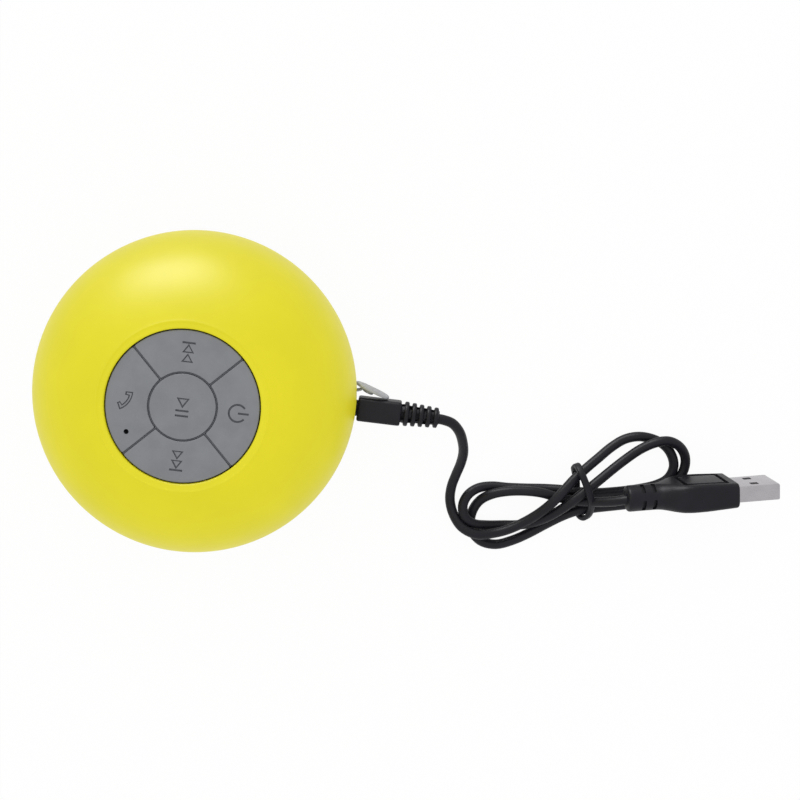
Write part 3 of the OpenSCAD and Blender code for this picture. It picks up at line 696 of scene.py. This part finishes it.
@dataclass
class BodyShape:
    """The curves that the skin and everything set into it share."""

    radius: float = 43.0
    ring_z: float = 24.5
    dome_h: float = 33.5
    dome_n: float = 2.4
    tail_h: float = 27.5
    back_z: float = 10.5
    skin: float = 1.8
    turn: float = -7.0
    port_z: float = 20.0

    def place(self) -> Matrix:
        """The speaker's own axes, with +X through the charging port."""
        return turns(self.turn, "Z")

    def dome_z(self, radius: float, depth: float = 0.0) -> float:
        """Height of the dome at a radius, at a depth under its outside."""
        share = (radius / (self.radius - depth)) ** self.dome_n
        return self.ring_z + (self.dome_h - depth) * (1 - share) ** (1 / self.dome_n)

    def dome(self, inner: float, depth: float, steps: int) -> Outline:
        """Points from the widest ring in to a radius."""
        last = math.acos((inner / (self.radius - depth)) ** (self.dome_n / 2))
        return [
            (
                (self.radius - depth) * math.cos(last * i / steps) ** (2 / self.dome_n),
                self.ring_z + (self.dome_h - depth) * math.sin(last * i / steps) ** (2 / self.dome_n),
            )
            for i in range(steps + 1)
        ]

    def tail(self, low: float, depth: float, steps: int) -> Outline:
        """Points from a height under the widest ring up to it."""
        last = math.asin((self.ring_z - low) / (self.tail_h - depth))
        return [
            (
                (self.radius - depth) * math.cos(last * i / steps),
                self.ring_z - (self.tail_h - depth) * math.sin(last * i / steps),
            )
            for i in range(steps, 0, -1)
        ]

    def reach(self, z: float, depth: float = 0.0) -> float:
        """Radius of the back curve at a height."""
        return (self.radius - depth) * math.sqrt(1 - ((self.ring_z - z) / (self.tail_h - depth)) ** 2)


@dataclass
class SiliconeSkin:
    """The yellow skin with its lip round the keypad, its rear lip and the pocket for the plug."""

    shape: BodyShape
    opening: float = 19.7
    crease: float = 21.9
    rim: float = 21.2
    web_top: float = 51.31
    rear_lip: float = 1.2
    rear_lip_w: float = 3.6
    pocket_depth: float = 1.1
    pocket_y: Flat = (-4.0, 8.6)
    pocket_h: float = 8.0
    hole: float = 3.2
    steps: int = 256

    def profile(self) -> Outline:
        """The skin's section, from its rear lip over the outside and back along the inside."""
        s = self.shape
        back, top = s.reach(s.back_z), s.dome_z(self.crease)
        inner = back - self.rear_lip_w
        low = s.back_z - self.rear_lip
        rear = [(inner, low + 0.3), (inner + 0.1, low + 0.08), (inner + 0.35, low), (back - 1.5, low)]
        rear += [(back - 0.95, low + 0.12), (back - 0.5, low + 0.42), (back - 0.2, low + 0.8)]
        crest = [
            (self.crease - 0.08, top + 0.06), (self.crease - 0.22, top + 0.08),
            (self.crease - 0.38, top + 0.05), (self.crease - 0.55, top - 0.03),
            (self.crease - 0.75, top - 0.09), (self.crease - 1.1, top - 0.12),
            (self.opening + 0.6, top - 0.13), (self.opening + 0.4, top - 0.16),
            (self.opening + 0.2, top - 0.25), (self.opening + 0.07, top - 0.4),
            (self.opening + 0.01, top - 0.65),
            (self.opening, top - 1.2), (self.opening, self.web_top), (self.rim, self.web_top),
            (self.rim, s.dome_z(self.rim, s.skin)),
        ]
        outside = s.tail(s.back_z, 0, 26) + s.dome(self.crease, 0, 72)
        inside = s.tail(s.back_z, s.skin, 14) + s.dome(self.rim, s.skin, 30)
        return rear + outside + crest + inside[::-1] + [(inner, s.back_z)]

    def build(self) -> None:
        """Turns the section, then cuts the pocket and the hole for the plug."""
        s = self.shape
        skin = lathe("speaker_skin", self.profile(), self.steps, s.place())
        low, high = self.pocket_y
        floor = s.reach(s.port_z) - self.pocket_depth
        at_port = s.place() @ lies(y=(low + high) / 2, z=s.port_z)
        stations = ((floor, -0.8), (floor + 0.12, -0.3), (floor + 0.4, 0.0), (floor + 0.9, 0.15),
                    (floor + 1.4, 0.6), (floor + 6, 4.0))
        pocket = loft("pocket", [
            along_x(rounded_outline(high - low + grow, self.pocket_h + grow, 2.4 + grow / 2), x)
            for x, grow in stations
        ], at_port)
        bore = loft("bore", [
            along_x(circle_outline(self.hole, 64), x) for x in (s.radius - 6, s.radius + 6)
        ], s.place() @ lies(z=s.port_z))
        combine(skin, [pocket, bore])
        hand_over(skin, "housing", "yellow_silicone", ["silicone_skin"], sharp=38)


# ---- Keypad ----


class Sign(Enum):
    """The sign pressed into a key."""

    PLAY = "play"
    PREVIOUS = "previous"
    NEXT = "next"
    POWER = "power"
    CALL = "call"


@dataclass
class Keypad:
    """Five rubber keys with pressed-in signs, and the web with low ribs between them."""

    shape: BodyShape
    radius: float = 19.4
    play_r: float = 8.4
    groove: float = 0.45
    top: float = 54.46
    bottom: float = 52.06
    post_r: float = 2.0
    post_low: float = 48.11
    post_at: float = 13.5
    sign_at: float = 13.9
    edge: float = 0.3
    corner: float = 0.42
    sign_depth: float = 0.42
    island_drop: float = 0.17
    line: float = 0.5
    mic_at: Flat = (-13.4, -8.0)
    mic_r: float = 0.65
    web_r: float = 21.0
    web_z: Flat = (50.51, 51.31)
    rib_top: float = 54.05
    rib_gap: float = 0.08

    def sector(self, inset: float) -> Outline:
        """The outline of an outer key round the +Y axis, drawn in by an inset."""
        outer, inner = self.radius - inset, self.play_r + self.groove + inset
        side, corner = self.groove / 2 + inset, max(self.corner - inset, 0.06)
        run, off = Vector((1, 1)).normalized(), Vector((-1, 1)).normalized()
        middles = []
        for reach in (outer - corner, inner + corner):
            middles.append(off * (side + corner) + run * math.sqrt(reach ** 2 - (side + corner) ** 2))
        far, near = middles
        far_turn = math.degrees(math.atan2(far.y, far.x))
        near_turn = math.degrees(math.atan2(near.y, near.x))
        right = arc_points(outer, 90, far_turn, 22)[:-1]
        right += arc_points(corner, far_turn, -45, 5, tuple(far))
        right += arc_points(corner, -45, near_turn - 180, 5, tuple(near))
        right += arc_points(inner, near_turn, 90, 14)[1:]
        left = [(-x, y) for x, y in reversed(right[1:-1])]
        return list(reversed(right + left))

    def plate(self, name: str, outline: Callable[[float], Outline], place: Matrix) -> bpy.types.Object:
        """A key's plate with a rounded upper edge.

        Args:
            name: the piece's name.
            outline: gives the plate's outline at an inset.
            place: where it goes.

        Returns:
            The object.
        """
        rings = [at_height(outline(0.12), self.bottom), at_height(outline(0), self.bottom + 0.15)]
        for step in range(6):
            angle = math.radians(90 * step / 5)
            inset = self.edge * (1 - math.cos(angle))
            rings.append(at_height(outline(inset), self.top - self.edge * (1 - math.sin(angle))))
        return loft(name, rings, place)

    def sign_outlines(self, sign: Sign) -> list[Outline]:
        """The closed outlines of a sign, about its own middle with +Y up."""
        def triangle(y: float, w: float = 3.0, h: float = 2.3) -> Outline:
            """An upward triangle."""
            return [(-w / 2, y - h / 2), (w / 2, y - h / 2), (0, y + h / 2)]
        def bar(y: float, w: float = 3.3) -> Outline:
            """A level bar."""
            return [(-w / 2, y - self.line / 2), (w / 2, y - self.line / 2),
                    (w / 2, y + self.line / 2), (-w / 2, y + self.line / 2)]
        if sign is Sign.PLAY:
            tip_down = [(-x, -y) for x, y in triangle(-0.9, 3.3, 2.6)]
            return [tip_down, bar(-1.05), bar(-2.35)]
        if sign is Sign.PREVIOUS:
            return [triangle(-1.45), triangle(0.95), bar(2.35)]
        if sign is Sign.NEXT:
            return [[(-x, -y) for x, y in part] for part in self.sign_outlines(Sign.PREVIOUS)]
        if sign is Sign.POWER:
            ring = arc_points(2.42, 38, 322, 40) + arc_points(2.42 - self.line, 322, 38, 40)
            return [ring, [(x + 1.5, y) for x, y in bar(0, 2.7)]]
        return [self.handset(0.0)]

    def handset(self, inset: float) -> Outline:
        """The outline of the bent handset, drawn in by an inset."""
        turn = math.degrees(inset / 4.2)
        outer, inner, block = 5.1 - inset, 4.15 + inset, 3.2 + inset
        points = arc_points(outer, -124 + turn, -56 - turn, 18)
        points += arc_points(block, -56 - turn, -71 + turn, 3)
        points += arc_points(inner, -71 + turn, -109 - turn, 10)
        points += arc_points(block, -109 - turn, -124 + turn, 3)
        lean, sink = math.radians(58), 3.9
        return [
            (x * math.cos(lean) - (y + sink) * math.sin(lean) - 0.5, x * math.sin(lean) + (y + sink) * math.cos(lean))
            for x, y in points
        ]

    def islands(self, sign: Sign) -> list[Outline]:
        """The raised middles that a sign's broad parts keep."""
        if sign is Sign.POWER:
            return []
        if sign is Sign.CALL:
            return [self.handset(0.3)]
        made = []
        for part in self.sign_outlines(sign):
            if len(part) == 3:
                x, y = (sum(p[i] for p in part) / 3 for i in (0, 1))
                made.append([(x + (a - x) * 0.6, y + (b - y) * 0.6) for a, b in part])
        return made

    def key(self, sign: Sign, direction: float) -> None:
        """Builds one key.

        Args:
            sign: what is pressed into it.
            direction: turn of its sector from +Y in degrees; the middle key has none.
        """
        middle = sign is Sign.PLAY
        outline = (lambda inset: circle_outline(self.play_r - inset, 128)) if middle else self.sector
        own = self.shape.place() @ turns(direction, "Z")
        key = self.plate(f"{sign.value}_cap", outline, own)
        spot = Vector((0, 0 if middle else self.post_at, 0))
        home = self.shape.place() @ Matrix.Translation(turns(direction, "Z") @ spot)
        post = prism("post", circle_outline(self.post_r, 32), self.post_low, self.bottom + 0.8, home)
        combine(key, [post], "UNION")
        sign_spot = Vector((0, 0 if middle else self.sign_at, 0))
        sign_home = self.shape.place() @ Matrix.Translation(turns(direction, "Z") @ sign_spot)
        marks = [
            prism("mark", part, self.top - self.sign_depth, self.top + 1, sign_home)
            for part in self.sign_outlines(sign)
        ]
        islands = [
            prism("island", part, self.top - self.sign_depth - 0.2, self.top - self.island_drop, sign_home)
            for part in self.islands(sign)
        ]
        if sign is Sign.CALL:
            marks.append(prism("mic", circle_outline(self.mic_r, 32), self.bottom - 1, self.top + 1,
                               self.shape.place() @ lies(x=self.mic_at[0], y=self.mic_at[1])))
        combine(key, marks)
        if islands:
            combine(key, islands, "UNION")
        hand_over(key, sign.value, "grey_rubber", [f"{sign.value}_key"], sharp=30)

    def web(self) -> None:
        """Builds the web that the keys stand on, with ribs that fill the grooves."""
        low, high = self.web_z
        place = self.shape.place()
        web = lathe("keypad_membrane", [
            (0, low), (self.web_r, low), (self.web_r, high), (0, high)], 128, place)
        spots = [(0, 0)] + [
            tuple((turns(a, "Z") @ Vector((0, self.post_at, 0))).xy) for a in (0, 90, 180, 270)
        ]
        holes = [prism("hole", circle_outline(self.post_r + 0.4, 40), low - 1, high + 1,
                       place @ lies(x=x, y=y)) for x, y in spots]
        holes.append(prism("hole", circle_outline(self.mic_r, 24), low - 1, high + 1,
                           place @ lies(x=self.mic_at[0], y=self.mic_at[1])))
        combine(web, holes)
        inner, outer = self.play_r + self.rib_gap, self.play_r + self.groove - self.rib_gap
        foot = high - 0.2
        ribs = [lathe("rib", [(inner, foot), (outer, foot), (outer, self.rib_top - 0.06),
                              (outer - 0.06, self.rib_top), (inner + 0.06, self.rib_top),
                              (inner, self.rib_top - 0.06)], 128, place)]
        width, long = self.groove - 2 * self.rib_gap, self.radius - outer
        for angle in (45, 135, 225, 315):
            ribs.append(prism("rib", rounded_outline(long, width, 0.05, 2), foot, self.rib_top,
                              place @ turns(angle, "Z") @ lies(x=outer - 0.05 + long / 2)))
        combine(web, ribs, "UNION")
        hand_over(web, "housing", "grey_rubber", ["keypad_web"])

    def build(self) -> None:
        """Builds the web and the five keys."""
        self.web()
        for sign, direction in ((Sign.PLAY, 0), (Sign.PREVIOUS, 0), (Sign.CALL, 90), (Sign.NEXT, 180),
                                (Sign.POWER, 270)):
            self.key(sign, direction)


# ---- Suction cup ----


@dataclass
class SuctionCup:
    """The clear cup with its stem and the head that snaps into the rear plate."""

    shape: BodyShape
    radius: float = 30.0
    height: float = 8.0
    middle: float = 2.4
    stem: float = 4.5
    head: float = 6.2
    head_z: float = 12.8
    head_h: float = 2.6

    def build(self) -> None:
        """Turns the cup's section."""
        top = self.height - 0.6
        out = self.radius - 4 - self.stem
        bell = [
            (self.stem + 2 + out * math.cos(math.radians(a)), 1 + (top - 1) * math.sin(math.radians(a)))
            for a in range(6, 90, 6)
        ]
        hollow = [
            ((self.radius - 3.2) * math.cos(math.radians(a)),
             (self.height - self.middle) * math.sin(math.radians(a)))
            for a in range(84, 0, -6)
        ]
        profile = [(self.radius - 0.15, 0), (self.radius, 0.15), (self.radius, 0.45), (self.radius - 0.2, 0.65)]
        profile += bell
        profile += [(self.stem + 1.2, top + 0.08), (self.stem + 0.4, top + 0.3), (self.stem, self.height),
                    (self.stem, self.head_z), (self.head - 0.2, self.head_z), (self.head, self.head_z + 0.2),
                    (self.head, self.head_z + self.head_h * 0.4),
                    (self.head - 2.4, self.head_z + self.head_h), (0, self.head_z + self.head_h),
                    (0, self.height - self.middle)]
        profile += hollow + [(self.radius - 3, 0)]
        cup = lathe("clear_cup", profile, 160, self.shape.place())
        hand_over(cup, "cup", "cup_pvc", ["suction_cup"])


# ---- Charging lead ----


@dataclass
class PortFlap:
    """The rubber flap that hangs open beside the plug, and its strap."""

    shape: BodyShape
    hinge_y: float = 7.2
    length: float = 10.6
    width: float = 7.4
    thick: float = 0.8
    plug_half: float = 3.25
    clear: float = 0.12
    start: float = 0.75

    def hinge(self) -> Matrix:
        """The hinge's axes, with +X along the open flap."""
        s = self.shape
        x = math.sqrt(s.reach(s.port_z) ** 2 - self.hinge_y ** 2) - 0.3
        lean = math.degrees(math.asin(
            (self.hinge_y - self.plug_half - self.thick / 2 - self.clear) / self.length))
        return s.place() @ lies(x=x, y=self.hinge_y, z=s.port_z) @ turns(-lean, "Z")

    def build(self) -> None:
        """Builds the flap with its sealing nub, and the strap beside the hinge."""
        long, hinge = self.length - self.start, self.hinge()
        flat = hinge @ lies(x=self.start + long / 2) @ turns(90, "X")
        stations = ((-0.4, 0.5), (-0.33, 0.2), (-0.18, 0.0), (0.18, 0.0), (0.33, 0.2), (0.4, 0.5))
        flap = loft("flap_cover", [
            at_height(rounded_outline(long - cut, self.width - cut, 3.6 - cut / 2, 12), z)
            for z, cut in stations
        ], flat)
        nub = lathe("nub", [(0, -1.3), (1.2, -1.3), (1.42, -1.2), (1.5, -1.0), (1.5, 0.1), (0, 0.1)], 48,
                    hinge @ lies(x=self.length * 0.45) @ turns(-90, "X"))
        combine(flap, [nub], "UNION")
        hand_over(flap, "flap", "flap_rubber", ["port_flap"])
        line = smooth_line([(41.1, 4.95, 0), (42.0, 4.85, 0), (42.9, 4.95, 0), (43.7, 5.25, 0),
                            (44.25, 5.6, 0), (44.75, 5.75, 0), (45.4, 5.6, 0)], 6)
        rings = []
        for i, point in enumerate(line):
            ahead = (line[min(i + 1, len(line) - 1)] - line[max(i - 1, 0)]).normalized()
            side = Vector((-ahead.y, ahead.x, 0))
            rings.append([point + side * a + Vector((0, 0, b))
                          for a, b in rounded_outline(0.5, 3.6, 0.2, 3)])
        port = self.shape.place() @ lies(z=self.shape.port_z)
        strap = loft("flap_strap", rings, port)
        mesh = strap.data
        mesh.transform(Matrix.Scale(MILLIMETRE, 4))
        mesh.shade_smooth()
        mesh.materials.append(FINISHES["flap_rubber"].material())
        start, end = ((port @ Vector(p)) * MILLIMETRE for p in ((41.6, 4.9, 0), (44.4, 5.7, 0)))
        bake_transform(strap)


@dataclass
class SpeakerPlug:
    """The square grip in the speaker's port with its ribbed strain relief."""

    shape: BodyShape
    neck_r: float = 2.2
    neck_x: float = 40.61
    grip_x: float = 43.4
    grip_w: float = 6.5
    grip_l: float = 11.8
    corner: float = 1.05
    ribs: int = 5
    pitch: float = 2.02
    first: float = 1.05
    rib_w: float = 1.3
    rib_r: float = 3.35
    rib_step: float = 0.14
    core: Flat = (2.5, 2.05)
    relief_l: float = 10.7
    bend: float = 0.5

    def grip(self) -> bpy.types.Object:
        """The neck and the square grip."""
        end = self.grip_x + self.grip_l
        stations = [(self.neck_x, 2 * self.neck_r, self.neck_r), (self.grip_x, 2 * self.neck_r, self.neck_r),
                    (self.grip_x, self.grip_w - 0.9, self.corner)]
        for x, cut in ((0.06, 0.5), (0.2, 0.2), (0.45, 0.03), (0.9, 0.0)):
            stations.append((self.grip_x + x, self.grip_w - cut, self.corner))
        for x, cut in ((0.9, 0.0), (0.45, 0.03), (0.2, 0.2), (0.06, 0.5), (0.0, 0.9)):
            stations.append((end - x, self.grip_w - cut, self.corner))
        return loft("speaker_plug_grip", [
            along_x(rounded_outline(w, w, r, 8), x) for x, w, r in stations
        ], self.shape.place() @ lies(z=self.shape.port_z))

    def relief(self, place: Matrix) -> bpy.types.Object:
        """The tapered core with its rounded ribs.

        Args:
            place: axes with +X along the relief.

        Returns:
            The object.
        """
        def core(x: float) -> float:
            """The core's radius at a place along the relief."""
            return self.core[0] + (self.core[1] - self.core[0]) * x / self.relief_l
        line = [(0.0, core(0))]
        for i in range(self.ribs):
            low, top = self.first + self.pitch * i, self.rib_r - self.rib_step * i
            for share, drop in ((0.0, 0.7), (0.03, 0.36), (0.12, 0.12), (0.27, 0.0), (0.73, 0.0), (0.88, 0.12),
                                (0.97, 0.36), (1.0, 0.7)):
                x = low + share * self.rib_w
                line.append((x, max(core(x), top - drop)))
            line += [(low + self.rib_w + 0.04, core(low + self.rib_w))]
            if i < self.ribs - 1:
                line.append((low + self.pitch - 0.04, core(low + self.pitch)))
        line += [(self.relief_l - 0.25, core(self.relief_l)), (self.relief_l, core(self.relief_l) - 0.3)]
        return loft("relief", [along_x(circle_outline(r, 64), x) for x, r in line], place)

    def build(self) -> bpy.types.Object:
        """Joins grip and relief, and opens the windows between the ribs."""
        place = self.shape.place() @ lies(x=self.grip_x + self.grip_l - 0.2, z=self.shape.port_z)
        place = place @ turns(-self.bend, "Z")
        plug = self.grip()
        combine(plug, [self.relief(place)], "UNION")
        windows = []
        for gap in range(self.ribs):
            low = 0.22 if gap == 0 else self.first + self.pitch * (gap - 1) + self.rib_w
            wide = self.first + self.pitch * gap - low
            for quarter in range(4):
                turn = 90 * quarter + (40 if gap % 2 else 8)
                windows.append(prism("window", rounded_outline(wide - 0.04, 2.3, 0.15, 2), 1.25, 3.4,
                                     place @ lies(x=low + wide / 2) @ turns(turn, "X")))
        combine(plug, windows)
        return hand_over(plug, "lead", "cord_black", ["jack_overmould"])


@dataclass
class Cord:
    """The cord in its two loops, and the tie round it."""

    diameter: float = 2.8
    tie: Flat = (1.9, 1.4)

    def line(self) -> bpy.types.Object:
        """The cord as one smooth curve."""
        curve = bpy.data.curves.new("cord_run", "CURVE")
        curve.dimensions = "3D"
        curve.bevel_depth = self.diameter / 2 * MILLIMETRE
        curve.bevel_resolution = 6
        curve.resolution_u = 5
        curve.use_fill_caps = True
        spline = curve.splines.new("BEZIER")
        spline.bezier_points.add(len(CORD_ROUTE) - 1)
        points = [Vector(p) * MILLIMETRE for p in CORD_ROUTE]
        for i, (knot, point) in enumerate(zip(spline.bezier_points, points)):
            slope = (points[min(i + 1, len(points) - 1)] - points[max(i - 1, 0)]) / 6
            knot.handle_left_type = knot.handle_right_type = "FREE"
            knot.co, knot.handle_left, knot.handle_right = point, point - slope, point + slope
        made = bpy.data.objects.new("cord_run", curve)
        bpy.context.scene.collection.objects.link(made)
        curve.materials.append(FINISHES["cord_black"].material())
        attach(made, "lead")
        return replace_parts(made, "charging_cord")

    def band(self) -> bpy.types.Object:
        """The flat band of the tie, closed round the strands."""
        line = smooth_line(TIE_ROUTE, 6, loop=True)
        count = len(line)
        middle = sum(line, Vector()) / count
        rings = []
        for i, point in enumerate(line):
            ahead = (line[(i + 1) % count] - line[i - 1]).normalized()
            out = (point - middle) - (point - middle).dot(ahead) * ahead
            out.normalize()
            side = ahead.cross(out)
            rings.append([point + side * a + out * b
                          for a, b in rounded_outline(self.tie[0], self.tie[1], 0.45, 4)])
        tie = loft("tie_band", rings, loop=True)
        return hand_over(tie, "lead", "cord_black", ["cord_tie"])


@dataclass
class ChargerPlug:
    """The charger plug's body and its folded metal shell."""

    face: tuple[float, float, float] = (147.5, -30.3, 8.4)
    heading: float = 2.8
    slope: float = 9.0
    lean: float = -3.0
    length: float = 30.5
    relief_d: float = 7.4
    shell: tuple[float, float, float] = (12.0, 12.0, 4.5)
    wall: float = 0.3
    inset: float = 5.0

    def place(self) -> Matrix:
        """The plug's own axes, with +X to the shell and +Y across its wide side."""
        return (Matrix.Translation(self.face) @ turns(self.heading, "Z") @ turns(self.slope, "Y")
                @ turns(90 - self.lean, "X"))

    def sections(self) -> list[tuple[float, float, float, float]]:
        """Place along the plug, width, thickness and corner radius of the body's sections."""
        end, d = -self.length, self.relief_d
        keys = [(end, d - 1.3, d - 1.3, d), (end + 0.12, d - 0.7, d - 0.7, d), (end + 0.4, d - 0.2, d - 0.2, d),
                (end + 0.9, d, d, d), (end + 3.0, d, d, d), (end + 5.5, d, d, d), (end + 8.0, d + 0.1, d, d),
                (end + 9.6, d + 0.9, d + 0.05, 3.7), (end + 11.2, d + 2.9, d + 0.2, 3.4),
                (end + 13.0, d + 5.2, d + 0.45, 2.7), (end + 15.0, d + 6.9, d + 0.6, 2.0),
                (end + 17.5, 15.0, 8.0, 1.6), (-9.0, 15.0, 7.9, 1.5), (-5.0, 15.0, 7.5, 1.5),
                (-1.2, 14.95, 7.1, 1.5), (-0.5, 14.85, 7.0, 1.5), (-0.15, 14.5, 6.65, 1.45),
                (0.0, 13.9, 6.0, 1.3)]
        return [tuple(v) for v in smooth_sections(keys, 3)]

    def body(self) -> bpy.types.Object:
        """The moulded body with the slots of its relief and the sunk frame on its wide side."""
        place = self.place()
        body = loft("charger_plug_body", [
            along_x(rounded_outline(w, t, r, 9), x) for x, w, t, r in self.sections()
        ], place)
        cuts = []
        for x in (4.3, 7.4):
            for quarter in range(4):
                cuts.append(prism("slot", rounded_outline(1.05, 3.6, 0.35, 3), 2.75, 5,
                                  place @ lies(x=x - self.length) @ turns(90 * quarter - 60, "X")))
        side = place @ lies(x=-8.9, z=-3.86) @ turns(-1.7, "Y")
        sunk = loft("frame", [
            at_height(rounded_outline(12.8 + grow, 11.4 + grow, 1.0, 4), z) for z, grow in ((-1, 0.8), (0.75, 0))
        ], side)
        field = loft("field", [
            at_height(rounded_outline(11.0 - cut, 9.0 - cut, 0.6, 4), z)
            for z, cut in ((0.0, 0.6), (0.02, 0.4), (0.12, 0.1), (1.0, 0))
        ], side)
        combine(body, cuts + [sunk])
        combine(body, [field], "UNION")
        return hand_over(body, "lead", "cord_black", ["usb_overmould"])

    def case(self) -> bpy.types.Object:
        """The folded shell with its four latch windows and its seam."""
        long, wide, thick = self.shell
        place, w = self.place(), self.wall
        outer = [(-self.inset, 0.0), (long - 0.25, 0.0), (long - 0.08, 0.06), (long, 0.2)]
        inner = [(long, 2 * w - 0.2), (long - 0.1, 2 * w), (-self.inset + 1, 2 * w)]
        case = loft("charger_plug_shell", [
            along_x(rounded_outline(wide - cut, thick - cut, 0.55 if i < 4 else 0.3, 5), x)
            for i, (x, cut) in enumerate(outer + inner)
        ], place)
        holes = [prism("window", rounded_outline(2.3, 2.1, 0.25, 3), -5, 5, place @ lies(x=5.6, y=s * 2.9))
                 for s in (-1, 1)]
        seam = prism("seam", rounded_outline(9.0, 0.14, 0.02, 2), 1.8, 3, place @ lies(x=long - 4.4))
        combine(case, holes + [seam])
        return hand_over(case, "lead", "chrome_shell", ["usb_shell"])


def smooth_sections(keys: Sequence[Sequence[float]], steps: int) -> list[list[float]]:
    """Fills in between sections with a smooth line through each of their numbers."""
    filled = []
    for i in range(len(keys) - 1):
        a, b = keys[max(i - 1, 0)], keys[i]
        c, d = keys[i + 1], keys[min(i + 2, len(keys) - 1)]
        for s in range(steps):
            t = s / steps
            mixed = [q + (r - q) * t for q, r in zip(b, c)]
            for n in (1, 2):
                gap = max(c[0] - b[0], 1e-6)
                left = (c[n] - a[n]) / max(c[0] - a[0], 1e-6) * gap
                right = (d[n] - b[n]) / max(d[0] - b[0], 1e-6) * gap
                mixed[n] = (
                    (2 * t ** 3 - 3 * t ** 2 + 1) * b[n] + (t ** 3 - 2 * t ** 2 + t) * left
                    + (3 * t ** 2 - 2 * t ** 3) * c[n] + (t ** 3 - t ** 2) * right
                )
            filled.append(mixed)
    return filled + [list(keys[-1])]


# ---- Studio ----


@dataclass
class Studio:
    """Camera, lamps, world and floor."""

    eye: tuple[float, float, float] = (0.0546, 0.0605, 0.4727)
    tilt: float = -8.0
    lens: float = 75.8
    world: float = 0.89
    floor_glow: float = 0.95

    def camera(self) -> None:
        """Sets the camera."""
        data = bpy.data.cameras.new("camera")
        data.lens, data.sensor_width, data.clip_start = self.lens, 36.0, 0.01
        camera = bpy.data.objects.new("camera", data)
        camera.location = self.eye
        camera.rotation_euler = (math.radians(self.tilt), 0, 0)
        bpy.context.scene.collection.objects.link(camera)
        bpy.context.scene.camera = camera

    def lamp(self, name: str, at: Sequence[float], aim: Sequence[float], size: float, power: float,
             matt: bool = True) -> None:
        """Adds a soft square lamp.

        Args:
            name: its name.
            at: where it stands.
            aim: the point that it faces.
            size: its side in metres.
            power: its power in watts.
            matt: whether it lights matt surfaces too, beside its highlights.
        """
        data = bpy.data.lights.new(name, "AREA")
        data.size, data.energy = size, power
        lamp = bpy.data.objects.new(name, data)
        lamp.location = at
        lamp.visible_diffuse = matt
        lamp.rotation_euler = (Vector(aim) - Vector(at)).to_track_quat("-Z", "Y").to_euler()
        bpy.context.scene.collection.objects.link(lamp)

    def seen(self, graph: Graph) -> Value:
        """1 for rays from the camera, from glossy surfaces and through clear ones."""
        path = [graph.node("ShaderNodeLightPath", output=f"Is {kind} Ray")
                for kind in ("Camera", "Glossy", "Transmission")]
        return path[0]._math("MAXIMUM", path[1])._math("MAXIMUM", path[2])

    def backdrop(self) -> None:
        """Sets the white world and the white floor, which keeps a faint shadow."""
        scene = bpy.context.scene
        scene.world = scene.world or bpy.data.worlds.new("world")
        scene.world.use_nodes = True
        graph = Graph(scene.world.node_tree)
        strength = self.world + (1 - self.world) * self.seen(graph)
        sky = graph.node("ShaderNodeBackground", {}, {"Color": (1, 1, 1, 1), "Strength": strength})
        graph.node("ShaderNodeOutputWorld", {}, {"Surface": sky})

        floor = mesh_piece("floor", [Vector((x, y, 0)) for x, y in ((-2, -2), (2, -2), (2, 2), (-2, 2))],
                           [(0, 1, 2, 3)])
        paper = bpy.data.materials.new("floor_paper")
        paper.use_nodes = True
        graph = Graph(paper.node_tree)
        matt = graph.node("ShaderNodeBsdfDiffuse", {}, {"Color": (0.94, 0.94, 0.94, 1)})
        glow = graph.node("ShaderNodeEmission", {}, {"Color": (1, 1, 1, 1), "Strength": 1.0})
        both = graph.node("ShaderNodeMixShader", {},
                          {0: self.seen(graph) * self.floor_glow, 1: matt, 2: glow})
        graph.node("ShaderNodeOutputMaterial", {}, {"Surface": both})
        floor.data.materials.append(paper)

    def build(self) -> None:
        """Sets the lamps and the backdrop."""
        bpy.context.scene.view_settings.view_transform = "Standard"
        self.lamp("key_lamp", (-0.15, 0.1, 0.85), (0.02, 0, 0.02), 0.5, 0.5)
        self.lamp("top_lamp", (-0.05, 0.62, 0.26), (0.02, 0, 0.03), 0.36, 0.3)
        self.lamp("rim_lamp", (-0.12, 0.55, 0.12), (0.02, 0, 0.02), 0.4, 6.0, matt=False)
        self.backdrop()


def dress_cad() -> None:
    """Gives every CAD node the finish of its material slot."""
    slots = {part["node"]: part["material_slot"] for part in frame["record"]["subparts"]}
    for name, node in frame["nodes"].items():
        finish = FINISHES[slots[name]].material()
        for place in node.material_slots:
            place.material = finish
        if not node.material_slots:
            node.data.materials.append(finish)
    LOG.info("%d CAD nodes dressed", len(frame["nodes"]))


def main() -> None:
    """Builds the sub-assemblies in order."""
    logging.basicConfig(level=logging.INFO, format="%(name)s: %(message)s")
    studio, shape, cord = Studio(), BodyShape(), Cord()
    studio.camera()
    run = cord.line()
    dress_cad()
    SiliconeSkin(shape).build()
    Keypad(shape).build()
    SuctionCup(shape).build()
    PortFlap(shape).build()
    SpeakerPlug(shape).build()
    tie = cord.band()
    charger = ChargerPlug()
    body, case = charger.body(), charger.case()
    studio.build()


if __name__ == "__main__":
    main()
